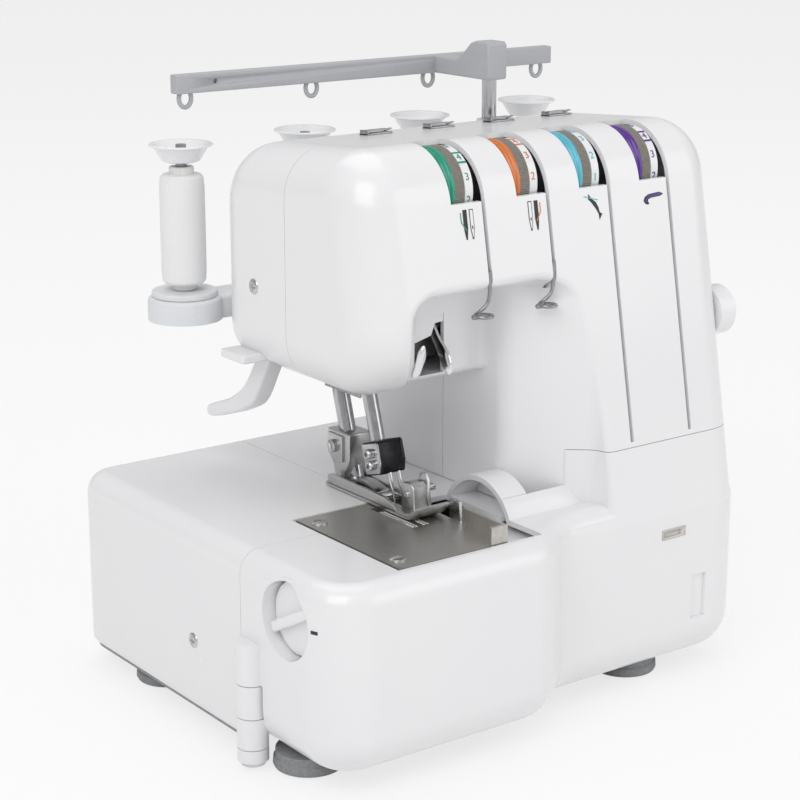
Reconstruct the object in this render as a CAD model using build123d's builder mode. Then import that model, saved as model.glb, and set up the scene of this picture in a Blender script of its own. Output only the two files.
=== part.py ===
from build123d import *
import os
from math import cos, radians, sin, tan

# A domestic four-thread overlock sewing machine. Millimetres, +Z up, the operator stands at -Y.
# The origin is on the table, under the middle of the closed machine's box.

# Overall box
overall_width = 280.0
overall_depth = 220.0
overall_height = 297.0

# Body shells
hinge_stand_out = 7.0
wheel_stand_out = 16.0
foot_height = 8.5
bed_top = 97.0
wall = 2.5
seam = 0.3
pan_thickness = 3.5
skirt_gap = 1.0
body_left = -overall_width / 2 + hinge_stand_out
body_right = overall_width / 2 - wheel_stand_out
body_front = -overall_depth / 2
body_back = overall_depth / 2
body_bottom = foot_height + skirt_gap
corner_round = 24.0
back_corner_round = 16.0
bed_edge_round = 10.0
door_bottom_round = 20.0
skirt_round = 5.0
bulge_blend = 22.0

# The sewing point, from which the head and the plate are laid out
needle_x = body_right - 163.5
needle_y = body_front + 81.0
bar_tilt = 16.9

# Upper body
column_left = needle_x + 41.5
column_right = body_right - 4.0
head_left = needle_x - 46.5
head_back = needle_y + 83.0
head_bottom = 156.0
head_top = 266.3
top_lean = 4.3
front_low_y = body_front + 23.0
front_low_z = 118.0
front_lean = 10.3
door_seam_z = 122.0
crown_round = 28.0
jaw_round = 38.0
back_round = 18.0
rear_round = 28.0
side_round = 22.0
column_round = 18.0
scoop_top = 203.0
scoop_left = head_left + 22.0
scoop_fade = 22.0
scoop_flank = 34.0
scoop_round = 12.0
scoop_ceiling_round = 10.0
brow_round = 4.0
flank_y = needle_y - 23.0
scoop_back = needle_y - 7.0
face_seam_y = needle_y + 22.0
face_seam_x = needle_x - 20.0
right_seam_x = column_right - 26.0
door_seam_y = body_front + 70.0
door_right_seam_y = body_front + 40.0
bed_seam_x = needle_x - 3.5
lip_x = needle_x + 26.5

# Front cover, its hinge and the knob beside it
hinge_y = door_seam_y - 8.0
knuckle_radius = hinge_stand_out
hinge_pin_radius = 2.2
knuckle_heights = (1.8, 3.6, 10.0, 24.5, 40.0, 59.0)
knuckle_gap = 0.4
knob_y = door_seam_y - 34.4
knob_z = 76.0
knob_well_radius = 17.2
knob_radius = 15.4
knob_face_depth = 4.5
knob_thickness = 6.0
knob_shaft_radius = 4.0

# Plate, bed arm and the hump beside the plate
plate_thickness = 1.8
plate_left = needle_x - 50.5
plate_right = needle_x + 7.5
plate_front = body_front + 12.0
plate_back = needle_y + 10.0
plate_gap = 1.5
flange_height = 8.0
hump_radius = 25.0
hump_y = needle_y - 24.0
hump_z = 87.0
arm_plate_thickness = 5.0

# Tension dials, left to right
dial_pitch = 36.2
first_slot_x = needle_x + 18.5
dial_slots = [first_slot_x + i * dial_pitch for i in range(4)]
dial_radius = 19.0
dial_width = 14.0
dial_band_width = 5.5
dial_band_step = 0.6
dial_z = 244.5
dial_depth = 21.24
dial_y = front_low_y + (dial_z - front_low_z) * tan(radians(front_lean)) + dial_depth
dial_plate_thickness = 2.0
dial_plate_gap = 2.0
spindle_radius = 3.0
window_width = 17.5
window_bottom = 241.0
window_back = dial_y + 10.0
slot_width = 2.0

# Thread stand
pin_pitch = 69.0
first_pin_x = needle_x - 51.5
pin_xs = [first_pin_x + i * pin_pitch for i in range(4)]
stand_y = head_back + 18.0
stand_top = 184.0
stand_thickness = 11.0
stand_disc_radius = 17.5
pin_radius = 2.5
pad_radius = 15.5
pad_thickness = 3.0
cap_rims = (256.0, 257.0, 258.5, 261.0)
pin_top = 255.5
pin_seat = 7.0
cap_height = 8.5
cap_rim_radius = 14.9
cap_base_radius = 9.8
spool_core_radius = 5.8
spool_pack_radius = 10.6
spool_height = 58.0

# Guide pole and bar
pole_x = needle_x + 99.5
pole_y = head_back - 21.0
pole_radius = 3.6
pole_tube_radius = 6.0
pole_tube_bottom = 140.0
pole_bottom = 150.0
bar_top = 287.5
bar_height = 8.8
bar_thickness = 6.0
hook_pitch = 70.0

# Drive
shaft_y = needle_y + 41.0
shaft_z = 75.0
shaft_radius = 6.0
wheel_radius = 33.0
pulley_radius = 29.0
motor_pulley_radius = 10.0
motor_y = shaft_y + 62.0
motor_z = 46.0
motor_radius = 27.0
belt_thickness = 3.0
belt_width = 8.0
pulley_x = column_left + 76.0

# Needle bar and presser bar, both leaning back by bar_tilt
needle_bar_radius = 3.5
needle_bar_low = 110.0
needle_bar_high = 228.0
needle_offset = 8.7
needle_spread = 5.0
needle_radius = 0.5
needle_tip_z = 78.0
clamp_width = 17.0
clamp_height = 16.0
presser_bar_radius = 4.0
bar_spacing = 23.3
ankle_top = 124.0
foot_left = needle_x - 11.0
foot_right = needle_x + 7.0
foot_front = needle_y - 29.0
foot_back = needle_y + 51.0
sole_thickness = 2.5
sole_lift = 0.3

# Loopers, knives and feed
feed_left = needle_x - 14.0
feed_right = needle_x - 5.5
feed_row_width = 2.5
feed_front = needle_y - 29.0
feed_back = needle_y - 1.0
feed_travel = 4.0
knife_thickness = 1.6
knife_gap = 0.2
knife_y = needle_y - 31.0
looper_pivot_x = needle_x + 23.5
looper_pivot_z = 42.0
upper_looper_y = needle_y - 7.0
upper_looper_x = needle_x + 19.5
upper_looper_z = 88.0
upper_looper_lean = 30.0

# Frame
post_left = column_left + 16.0
post_right = column_left + 68.0
post_front = needle_y + 9.0
post_back = needle_y + 54.0
frame_top = 215.0
arm_bottom = 176.0
head_block_left = needle_x - 20.5
head_block_right = needle_x + 27.5
head_block_bottom = 162.0

# Lifter lever and take-up
lifter_x = needle_x - 31.5
lifter_width = 10.0
lifter_y = needle_y + 53.0
lifter_z = 166.0
takeup_x = needle_x + 16.0
takeup_y = needle_y + 5.0
takeup_z = 184.0

# Running fits
running_fit = 0.05
clear = 0.3


def front_at(z):
    """Y of the leaning front face at height z."""
    return front_low_y + (z - front_low_z) * tan(radians(front_lean))


def top_at(y):
    """Height of the sloping top, before its edges are rounded, at a Y."""
    return head_top - (y - front_at(head_top)) * tan(radians(top_lean))


def nearest(shapes, x, y):
    """The vertex of a sketch nearest to a plan point."""
    return shapes.sort_by_distance((x, y, 0))[0]


def block(low, high, mode=Mode.ADD, plane=Plane.XY):
    """A box between two corners given on a plane, added to the part being built."""
    size = [b - a for a, b in zip(low, high)]
    middle = [(a + b) / 2 for a, b in zip(low, high)]
    with Locations(plane.location * Pos(*middle)):
        Box(*size, mode=mode)


def rod(start, direction, radius, length, mode=Mode.ADD):
    """A round bar from a point along a direction, added to the part being built."""
    with Locations(Plane(start, z_dir=direction)):
        Cylinder(radius, length, align=(Align.CENTER, Align.CENTER, Align.MIN), mode=mode)


def side_plate(points, low_x, high_x, mode=Mode.ADD):
    """A plate drawn with (y, z) points and given its thickness along X."""
    with BuildSketch(Plane.YZ.offset(low_x)) as outline:
        with BuildLine():
            Polyline(*points, close=True)
        make_face()
    extrude(outline.sketch, amount=high_x - low_x, mode=mode)


def front_plate(points, low_y, high_y, mode=Mode.ADD):
    """A plate drawn with (x, z) points and given its thickness along Y."""
    with BuildSketch(Plane.XZ.offset(-low_y)) as outline:
        with BuildLine():
            Polyline(*points, close=True)
        make_face()
    extrude(outline.sketch, amount=low_y - high_y, mode=mode)


def lower_outline(inset):
    """Plan of the lower body: a bulge in front of the bed, set back to a flatter panel on the right."""
    bulge_right = needle_x + 24.0
    panel_front = front_at(bed_top - bed_edge_round)
    with BuildSketch() as outline:
        with BuildLine():
            Polyline(
                (body_left, body_back),
                (body_left, body_front),
                (bulge_right, body_front),
                (bulge_right + bulge_blend, panel_front),
                (body_right, panel_front),
                (body_right, body_back),
                close=True,
            )
        make_face()
        fillet(nearest(outline.vertices(), body_left, body_front), corner_round)
        fillet(nearest(outline.vertices(), bulge_right, body_front), corner_round)
        fillet(nearest(outline.vertices(), bulge_right + bulge_blend, panel_front), corner_round)
        fillet(nearest(outline.vertices(), body_right, panel_front), corner_round)
        fillet(nearest(outline.vertices(), body_left, body_back), back_corner_round)
        fillet(nearest(outline.vertices(), body_right, body_back), back_corner_round)
        if inset:
            offset(amount=-inset, mode=Mode.REPLACE)
    return outline.sketch


def lower_body(inset, bottom, bottom_round):
    """The lower body as a solid, drawn in by inset all round and at the top."""
    with BuildPart() as body:
        with BuildSketch(Plane.XY.offset(bottom)):
            add(lower_outline(inset))
        extrude(amount=bed_top - inset - bottom)
        fillet(body.edges().group_by(Axis.Z)[-1], bed_edge_round - inset)
        if bottom_round:
            fillet(body.edges().group_by(Axis.Z)[0], bottom_round)
    return body.part


def side_profile(low, low_front_round, low_back_round, inset):
    """Side view of the head or column above height low, drawn in by inset, sketched on the YZ plane."""
    back = head_back - inset
    slope_gap = inset / cos(radians(front_lean))
    top_gap = inset / cos(radians(top_lean))
    front_tan = tan(radians(front_lean))
    top_tan = tan(radians(top_lean))
    front_top = head_top - (slope_gap * top_tan + top_gap) / (1 + front_tan * top_tan)
    back_top = top_at(back) - top_gap
    with BuildSketch() as profile:
        with BuildLine():
            Polyline(
                (front_at(low) + slope_gap, low),
                (front_at(front_top) + slope_gap, front_top),
                (back, back_top),
                (back, low),
                close=True,
            )
        make_face()
        fillet(nearest(profile.vertices(), front_at(front_top) + slope_gap, front_top), crown_round - inset)
        fillet(nearest(profile.vertices(), back, back_top), rear_round - inset)
        if low_front_round:
            fillet(nearest(profile.vertices(), front_at(low) + slope_gap, low), low_front_round)
            fillet(nearest(profile.vertices(), back, low), low_back_round)
    return profile.sketch


def scoop_tool(inset):
    """The hollow under the dials and left of the column, as a solid grown by inset, with a round ceiling."""
    with BuildPart() as tool:
        with BuildSketch(Plane.XY.offset(bed_top - 2 * wall)) as scoop:
            with BuildLine():
                Polyline(
                    (scoop_left, body_front - 10),
                    (scoop_left, front_at(scoop_top)),
                    (scoop_left + scoop_fade, scoop_back),
                    (column_left, scoop_back),
                    (column_left, flank_y),
                    (column_left + scoop_flank, front_at(head_bottom)),
                    (column_left + scoop_flank, body_front - 10),
                    close=True,
                )
            make_face()
            fillet(nearest(scoop.vertices(), scoop_left + scoop_fade, scoop_back), scoop_round / 2)
            fillet(nearest(scoop.vertices(), column_left, scoop_back), scoop_round / 2)
            fillet(nearest(scoop.vertices(), column_left, flank_y), scoop_round)
            fillet(nearest(scoop.vertices(), scoop_left, front_at(scoop_top)), scoop_round)
            fillet(nearest(scoop.vertices(), column_left + scoop_flank, front_at(head_bottom)), scoop_round)
            if inset:
                offset(amount=inset, mode=Mode.REPLACE)
        extrude(amount=scoop_top + inset - bed_top + 2 * wall)
        ceiling_edges = tool.faces().sort_by(Axis.Z)[-1].edges().sort_by(Axis.Y)
        fillet(ceiling_edges[1:], scoop_ceiling_round + inset)
    return tool.part


def upper_body(inset):
    """The head and column as one solid, drawn in by inset, less the scoop, with a round brow outside."""
    with BuildPart() as head:
        with BuildSketch(Plane.YZ.offset(head_left + inset)):
            add(side_profile(head_bottom + inset, jaw_round - inset, back_round - inset, inset))
        extrude(amount=column_left + scoop_flank - head_left - inset)
        fillet(head.faces().sort_by(Axis.X)[0].edges(), side_round - inset)
    with BuildPart() as column:
        with BuildSketch(Plane.YZ.offset(column_left + inset)):
            add(side_profile(bed_top - bed_edge_round - inset, 0, 0, inset))
        extrude(amount=column_right - column_left - 2 * inset)
        right_edges = column.faces().sort_by(Axis.X)[-1].edges()
        fillet(right_edges.sort_by(Axis.Z)[1:], column_round - inset)
    with BuildPart() as body:
        add(head.part)
        add(column.part)
        add(scoop_tool(inset), mode=Mode.SUBTRACT)
        if not inset:
            brow_place = ((scoop_left + column_left) / 2, front_at(scoop_top), scoop_top)
            fillet(body.edges().sort_by_distance(brow_place)[0], brow_round)
    return body.part


upper_outer = upper_body(0)
upper_inner = upper_body(wall)
door_outer = lower_body(0, body_bottom, door_bottom_round)
door_inner = lower_body(wall, body_bottom + wall, door_bottom_round - wall)
skirt_outer = lower_body(0, body_bottom, skirt_round)
skirt_inner = lower_body(wall, 0, 0)
far = 2 * overall_width


def finish(builder, name):
    """Name a finished piece and write it out."""
    builder.part.label = name
    export_step(builder.part, "parts/" + name + ".step")


os.makedirs("parts", exist_ok=True)

# Rubber feet under the pan, one at each corner of the foot pattern
foot_radius = 16.0
foot_taper = 8.0
foot_xs = (body_left + 21.0, body_right - 51.0)
foot_ys = (body_front + 49.5, body_back - 49.5)
with BuildPart() as rubber_feet:
    with BuildSketch(Plane.XY):
        with Locations(*[(x, y) for x in foot_xs for y in foot_ys]):
            Circle(foot_radius)
    extrude(amount=foot_height, taper=foot_taper)
finish(rubber_feet, "rubber_feet")

# Moulded pan that everything stands on, kept clear of the front cover's swing, with the shaft's right bearing
pan_top = foot_height + pan_thickness
pan_setback = door_bottom_round + 2.0
pedestal_left = pulley_x + 26.0
pedestal_width = 8.0
with BuildPart() as base_pan:
    with BuildSketch(Plane.XY.offset(foot_height)):
        add(lower_outline(wall + seam))
    extrude(amount=pan_thickness)
    block((-far, -far, 0), (lip_x, door_seam_y + knuckle_radius + wall, far), mode=Mode.SUBTRACT)
    block((-far, -far, 0), (far, door_right_seam_y + 1, far), mode=Mode.SUBTRACT)
    with BuildSketch(Plane.XY.offset(foot_height)):
        add(lower_outline(pan_setback))
    extrude(amount=pan_thickness)
    block(
        (pedestal_left, shaft_y - 2 * shaft_radius, foot_height),
        (pedestal_left + pedestal_width, shaft_y + 2 * shaft_radius, shaft_z + 2 * shaft_radius),
    )
    rod((0, shaft_y, shaft_z), (1, 0, 0), shaft_radius + running_fit, far, mode=Mode.SUBTRACT)
finish(base_pan, "base_pan")


def bed_shell(low, high):
    """The part of the lower body's skirt and top between two corners, added to the part being built."""
    add(skirt_outer)
    add(skirt_inner, mode=Mode.SUBTRACT)
    block(low, high, mode=Mode.INTERSECT)


# Left bed cover, with the fixed knuckles of the front cover's hinge and a hole for its screw
bed_screw_y = needle_y + 30.0
bed_screw_z = 43.0
screw_head_radius = 3.6
screw_head_height = 0.9
screw_radius = 1.5
screw_length = 9.0
with BuildPart() as left_bed_cover:
    bed_shell((-far, door_seam_y + seam / 2, 0), (bed_seam_x - seam / 2, far, far))
    block(
        (plate_left - plate_gap, -far, bed_top - bed_edge_round),
        (far, plate_back + plate_gap, far),
        mode=Mode.SUBTRACT,
    )
    block(
        (body_left, door_seam_y + plate_gap / 2, knuckle_heights[1] + knuckle_gap / 2),
        (body_left + knuckle_radius, door_seam_y + 2 * wall, knuckle_heights[2] + 3 * wall),
    )
    for low, high in ((1, 2), (3, 4)):
        knuckle_low = knuckle_heights[low] + knuckle_gap / 2
        knuckle_high = knuckle_heights[high] - knuckle_gap / 2
        block(
            (body_left, hinge_y, knuckle_low),
            (body_left + knuckle_radius, door_seam_y + wall, knuckle_high),
        )
        rod((body_left, hinge_y, knuckle_low), (0, 0, 1), knuckle_radius, knuckle_high - knuckle_low)
    rod((body_left, hinge_y, 0), (0, 0, 1), hinge_pin_radius, far, mode=Mode.SUBTRACT)
    rod((body_left, bed_screw_y, bed_screw_z), (1, 0, 0), screw_radius, screw_length, mode=Mode.SUBTRACT)
finish(left_bed_cover, "left_bed_cover")

pin_head_radius = 5.5
with BuildPart() as hinge_pin:
    rod((body_left, hinge_y, knuckle_heights[0]), (0, 0, 1), hinge_pin_radius, knuckle_heights[4] + 10)
    rod(
        (body_left, hinge_y, knuckle_heights[0]), (0, 0, 1),
        pin_head_radius, knuckle_heights[1] - knuckle_heights[0],
    )
finish(hinge_pin, "hinge_pin")

# Lower body cover right of the bed seam, with the hollow hump beside the throat plate,
# and holes for the main shaft, the two setting dials, the switch and the inlet
setting_y = body_front + 70.0
setting_zs = (62.0, 30.0)
setting_shaft_radius = 3.0
switch_y = body_back - 50.0
switch_z = 40.0
switch_width = 16.0
switch_height = 18.0
switch_gap = 0.5
inlet_y = body_back - 24.0
inlet_width = 20.0
inlet_height = 20.0
with BuildPart() as lower_cover:
    bed_shell((bed_seam_x + seam / 2, door_right_seam_y + seam / 2, 0), (far, far, far))
    block((-far, -far, 0), (lip_x, door_seam_y + seam / 2, far), mode=Mode.SUBTRACT)
    block(
        (-far, -far, bed_top - bed_edge_round),
        (plate_right + plate_gap, plate_back + plate_gap, far),
        mode=Mode.SUBTRACT,
    )
    block((-far, -far, bed_top - bed_edge_round), (lip_x, needle_y, far), mode=Mode.SUBTRACT)
    block(
        (column_left + wall + 1, -far, bed_top - bed_edge_round),
        (column_right - wall - 1, head_back - wall - 1, far),
        mode=Mode.SUBTRACT,
    )
    with BuildSketch(Plane.YZ.offset(lip_x)):
        with Locations((hump_y, hump_z)):
            Circle(hump_radius)
            Circle(hump_radius - wall, mode=Mode.SUBTRACT)
        with Locations((hump_y, bed_top - wall - hump_radius)):
            Rectangle(3 * hump_radius, 2 * hump_radius, mode=Mode.SUBTRACT)
    extrude(amount=column_left - seam - lip_x)
    block((-far, -far, 0), (far, door_right_seam_y + seam / 2, far), mode=Mode.SUBTRACT)
    rod((column_right, shaft_y, shaft_z), (1, 0, 0), shaft_radius + 1, far, mode=Mode.SUBTRACT)
    for setting_z in setting_zs:
        rod(
            (column_right, setting_y, setting_z), (1, 0, 0),
            setting_shaft_radius + running_fit, far, mode=Mode.SUBTRACT,
        )
    block(
        (column_right, switch_y - switch_width / 2 - switch_gap, switch_z - switch_height / 2 - switch_gap),
        (far, switch_y + switch_width / 2 + switch_gap, switch_z + switch_height / 2 + switch_gap),
        mode=Mode.SUBTRACT,
    )
    block(
        (column_right, inlet_y - inlet_width / 2, switch_z - inlet_height / 2),
        (far, inlet_y + inlet_width / 2, switch_z + inlet_height / 2),
        mode=Mode.SUBTRACT,
    )
finish(lower_cover, "lower_cover")

# Front cover: a door from the left hinge to the right corner, with a shoulder up to the upper cover
latch_x = needle_x + 112.5
latch_z = 78.0
latch_width = 15.0
latch_height = 5.0
latch_depth = 3.0
panel_front = front_at(bed_top - bed_edge_round)
grip_x = needle_x + 130.0
grip_z = 43.0
grip_width = 9.0
grip_height = 22.0
grip_depth = 1.5
with BuildPart() as front_cover:
    add(door_outer)
    add(upper_outer)
    rod((lip_x, hump_y, hump_z), (1, 0, 0), hump_radius, column_left + scoop_flank - lip_x)
    block((-far, -far, 0), (far, far, door_seam_z), mode=Mode.INTERSECT)
    add(door_inner, mode=Mode.SUBTRACT)
    add(upper_inner, mode=Mode.SUBTRACT)
    rod(
        (lip_x, hump_y, hump_z), (1, 0, 0), hump_radius - wall,
        column_left + scoop_flank - lip_x, mode=Mode.SUBTRACT,
    )
    with BuildSketch(Plane.XY):
        add(lower_outline(door_bottom_round - wall))
    extrude(amount=bed_top - bed_edge_round, mode=Mode.SUBTRACT)
    block((lip_x, door_right_seam_y - seam / 2, 0), (far, far, far), mode=Mode.SUBTRACT)
    block((-far, door_seam_y - seam / 2, 0), (far, far, far), mode=Mode.SUBTRACT)
    block(
        (plate_left - plate_gap, plate_front - plate_gap / 2, bed_top - 2 * bed_edge_round),
        (lip_x, far, far),
        mode=Mode.SUBTRACT,
    )
    rod((body_left - 1, knob_y, knob_z), (1, 0, 0), knob_well_radius, knob_thickness, mode=Mode.SUBTRACT)
    for low, high in ((1, 2), (3, 4)):
        rod(
            (body_left, hinge_y, knuckle_heights[low] - knuckle_gap / 2),
            (0, 0, 1),
            knuckle_radius + plate_gap,
            knuckle_heights[high] - knuckle_heights[low] + knuckle_gap,
            mode=Mode.SUBTRACT,
        )
    for low, high in ((2, 3), (4, 5)):
        rod(
            (body_left, hinge_y, knuckle_heights[low] + knuckle_gap / 2),
            (0, 0, 1),
            knuckle_radius,
            knuckle_heights[high] - knuckle_heights[low] - knuckle_gap,
        )
    rod(
        (body_left, hinge_y, 0), (0, 0, 1), hinge_pin_radius + running_fit,
        knuckle_heights[4] + 12, mode=Mode.SUBTRACT,
    )
    block(
        (latch_x - latch_width / 2, -far, latch_z - latch_height / 2),
        (latch_x + latch_width / 2, panel_front + latch_depth, latch_z + latch_height / 2),
        mode=Mode.SUBTRACT,
    )
    block(
        (grip_x - grip_width / 2, -far, grip_z - grip_height / 2),
        (grip_x + grip_width / 2, panel_front + grip_depth, grip_z + grip_height / 2),
        mode=Mode.SUBTRACT,
    )
finish(front_cover, "front_cover")

with BuildPart() as latch_plate:
    block(
        (latch_x - latch_width / 2, panel_front - grip_depth / 4, latch_z - latch_height / 2),
        (latch_x + latch_width / 2, panel_front + latch_depth, latch_z + latch_height / 2),
    )
finish(latch_plate, "latch_plate")

# Upper front cover with dial windows, thread slots and the openings under the head
opening_left = needle_x - 10.5
opening_right = needle_x + 10.5
opening_front = needle_y + 15.0
opening_back = needle_y + 65.0
takeup_left = needle_x + 3.0
takeup_right = needle_x + 19.5
takeup_top = takeup_z + 2.0
long_end = door_seam_z + wall
short_end = scoop_top - 2 * wall
lobe_y = body_front + 48.0
lobe_z = 173.0
lobe_radius = 12.0
lobe_stand_out = 7.0
with BuildPart() as upper_front_cover:
    add(upper_outer)
    rod((column_right - wall, lobe_y, lobe_z), (1, 0, 0), lobe_radius, wall + lobe_stand_out)
    add(upper_inner, mode=Mode.SUBTRACT)
    block((-far, -far, bed_top + seam), (far, face_seam_y - seam / 2, far), mode=Mode.INTERSECT)
    block((-far, -far, 0), (far, door_right_seam_y + seam / 2, door_seam_z + seam), mode=Mode.SUBTRACT)
    for slot_x in dial_slots:
        block(
            (slot_x - window_width, -far, window_bottom),
            (slot_x + slot_width / 2, window_back, far),
            mode=Mode.SUBTRACT,
        )
    for slot_x, slot_end in zip(dial_slots, (short_end, short_end, long_end, long_end)):
        block(
            (slot_x - slot_width / 2, -far, slot_end),
            (slot_x + slot_width / 2, dial_y, window_bottom + 1),
            mode=Mode.SUBTRACT,
        )
    block((opening_left, opening_front, 0), (opening_right, far, arm_bottom), mode=Mode.SUBTRACT)
    block((takeup_left, -far, head_bottom + wall), (takeup_right, scoop_back + 2 * wall, takeup_top),
          mode=Mode.SUBTRACT)
finish(upper_front_cover, "upper_front_cover")


def rear_shell(low_x, high_x):
    """The upper body's shell behind the face seam, between two X values, added to the part being built."""
    add(upper_outer)
    add(upper_inner, mode=Mode.SUBTRACT)
    block(
        (low_x + seam / 2, face_seam_y + seam / 2, bed_top + seam),
        (high_x - seam / 2, far, far),
        mode=Mode.INTERSECT,
    )


# Left face plate, with slots for the lifter lever and the thread cutter and a hole for its screw
face_screw_y = needle_y + 48.0
face_screw_z = 197.0
cutter_low = (head_left - 6.0, needle_y + 49.0, head_bottom + 5.0)
cutter_high = (head_left + 8.0, needle_y + 69.0, head_bottom + 9.0)
with BuildPart() as face_plate:
    rear_shell(-far, face_seam_x)
    block(
        (lifter_x - lifter_width / 2 - wall, lifter_y - 12, 0),
        (lifter_x + lifter_width / 2 + wall, far, lifter_z + 10),
        mode=Mode.SUBTRACT,
    )
    block(cutter_low, cutter_high, mode=Mode.SUBTRACT)
    rod((head_left - 1, face_screw_y, face_screw_z), (1, 0, 0), screw_radius, screw_length, mode=Mode.SUBTRACT)
finish(face_plate, "face_plate")

with BuildPart() as thread_cutter:
    block(cutter_low, cutter_high)
    fillet(thread_cutter.edges().filter_by(Axis.Z), 1.5)
finish(thread_cutter, "thread_cutter")

# Rear cover, open under the head for the bars and drilled for the pole tube
with BuildPart() as rear_cover:
    rear_shell(face_seam_x, right_seam_x)
    block((opening_left, -far, 0), (opening_right, opening_back, arm_bottom), mode=Mode.SUBTRACT)
    rod((pole_x, pole_y, frame_top), (0, 0, 1), pole_tube_radius + clear, far, mode=Mode.SUBTRACT)
finish(rear_cover, "rear_cover")

with BuildPart() as right_cover:
    rear_shell(right_seam_x, far)
finish(right_cover, "right_cover")

# Throat plate with needle and feed slots and a turned-up flange at the cutting edge
plate_bottom = bed_top - plate_thickness
flange_back = knife_y - 8.0
flange_return = 9.0
needle_slot_back = needle_y + 8.0
needle_slot_front = needle_y - 8.0
plate_screw_x = plate_left + 6.0
plate_screw_ys = (plate_front + 10.0, plate_back - 10.0)
with BuildPart() as throat_plate:
    block((plate_left, plate_front, plate_bottom), (plate_right, plate_back, bed_top))
    block(
        (plate_right - plate_thickness, plate_front, plate_bottom),
        (plate_right, flange_back, bed_top + flange_height),
    )
    block(
        (plate_right - flange_return, plate_front, plate_bottom),
        (plate_right, plate_front + plate_thickness, bed_top + flange_height),
    )
    block(
        (needle_x - needle_spread, needle_slot_front, 0),
        (needle_x + needle_spread, needle_slot_back, far),
        mode=Mode.SUBTRACT,
    )
    for row_left in (feed_left, feed_right - feed_row_width):
        block(
            (row_left - clear, feed_front - clear, 0),
            (row_left + feed_row_width + clear, feed_back + feed_travel + clear, far),
            mode=Mode.SUBTRACT,
        )
    for screw_y in plate_screw_ys:
        rod((plate_screw_x, screw_y, 0), (0, 0, 1), screw_radius, far, mode=Mode.SUBTRACT)
finish(throat_plate, "throat_plate")

# Bed arm under the throat plate: a plate on a left post, tied to the frame post, with the knob's bearing
arm_plate_bottom = plate_bottom - arm_plate_thickness
bed_arm_left = plate_left + 2.0
bed_post_width = 14.0
knob_bearing_length = 8.0
knob_bearing_radius = 10.0
notch_left = feed_left - 2.0
notch_front = knife_y - 6.0
with BuildPart() as bed_arm:
    block((bed_arm_left, plate_front + 3, arm_plate_bottom), (plate_right, plate_back, plate_bottom))
    block((bed_arm_left, post_front, arm_plate_bottom), (post_left, post_back - 5, bed_top - wall - clear))
    block((notch_left, notch_front, 0), (far, post_front, far), mode=Mode.SUBTRACT)
    block(
        (bed_arm_left, post_front + 10, pan_top),
        (bed_arm_left + bed_post_width, post_back - 5, arm_plate_bottom),
    )
    block(
        (bed_arm_left, knob_y - knob_bearing_radius, knob_z - knob_bearing_radius),
        (bed_arm_left + knob_bearing_length, knob_y + knob_bearing_radius, arm_plate_bottom),
    )
    rod(
        (bed_arm_left, knob_y, knob_z), (1, 0, 0),
        knob_shaft_radius + running_fit, knob_bearing_length, mode=Mode.SUBTRACT,
    )
    for screw_y in plate_screw_ys:
        rod((plate_screw_x, screw_y, arm_plate_bottom), (0, 0, 1), screw_radius, far, mode=Mode.SUBTRACT)
finish(bed_arm, "bed_arm")

# Cutting width knob beside the hinge, turning in the bed arm
knob_face_x = body_left + knob_face_depth
knob_grip_height = 3.0
knob_grip_width = 5.0
with BuildPart() as width_knob:
    rod((knob_face_x, knob_y, knob_z), (1, 0, 0), knob_radius, knob_thickness)
    fillet(width_knob.edges().sort_by(Axis.X)[0], 1.0)
    block(
        (knob_face_x - knob_grip_height, knob_y - knob_radius + 1.5, knob_z - knob_grip_width / 2),
        (knob_face_x, knob_y + knob_radius - 1.5, knob_z + knob_grip_width / 2),
    )
    rod(
        (knob_face_x, knob_y, knob_z), (1, 0, 0),
        knob_shaft_radius, bed_arm_left + knob_bearing_length - knob_face_x,
    )
finish(width_knob, "width_knob")

# Screws of the covers and the throat plate
with BuildPart() as cover_screws:
    for screw_x, screw_y, screw_z in (
        (body_left, bed_screw_y, bed_screw_z),
        (head_left, face_screw_y, face_screw_z),
    ):
        rod((screw_x - screw_head_height, screw_y, screw_z), (1, 0, 0), screw_head_radius, screw_head_height)
        rod((screw_x, screw_y, screw_z), (1, 0, 0), screw_radius, screw_length - 1)
    for screw_y in plate_screw_ys:
        rod((plate_screw_x, screw_y, bed_top), (0, 0, 1), screw_head_radius, screw_head_height)
        rod((plate_screw_x, screw_y, arm_plate_bottom), (0, 0, 1), screw_radius, bed_top - arm_plate_bottom)
finish(cover_screws, "cover_screws")

# Bars lean back: this plane's origin is on the needle bar's axis, its normal runs up the bar
bar_plane = Plane(
    origin=(needle_x, needle_y + 17.0, 123.0),
    x_dir=(1, 0, 0),
    z_dir=(0, sin(radians(bar_tilt)), cos(radians(bar_tilt))),
)


def along_bar(z):
    """Distance along the bars from the bar plane's origin to height z."""
    return (z - bar_plane.origin.Z) / cos(radians(bar_tilt))


def bar_rod(x, y, low, high, radius, mode=Mode.ADD):
    """A round bar parallel to the needle bar, between two distances along it."""
    with Locations(bar_plane.location * Pos(x, y, low)):
        Cylinder(radius, high - low, align=(Align.CENTER, Align.CENTER, Align.MIN), mode=mode)


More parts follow.
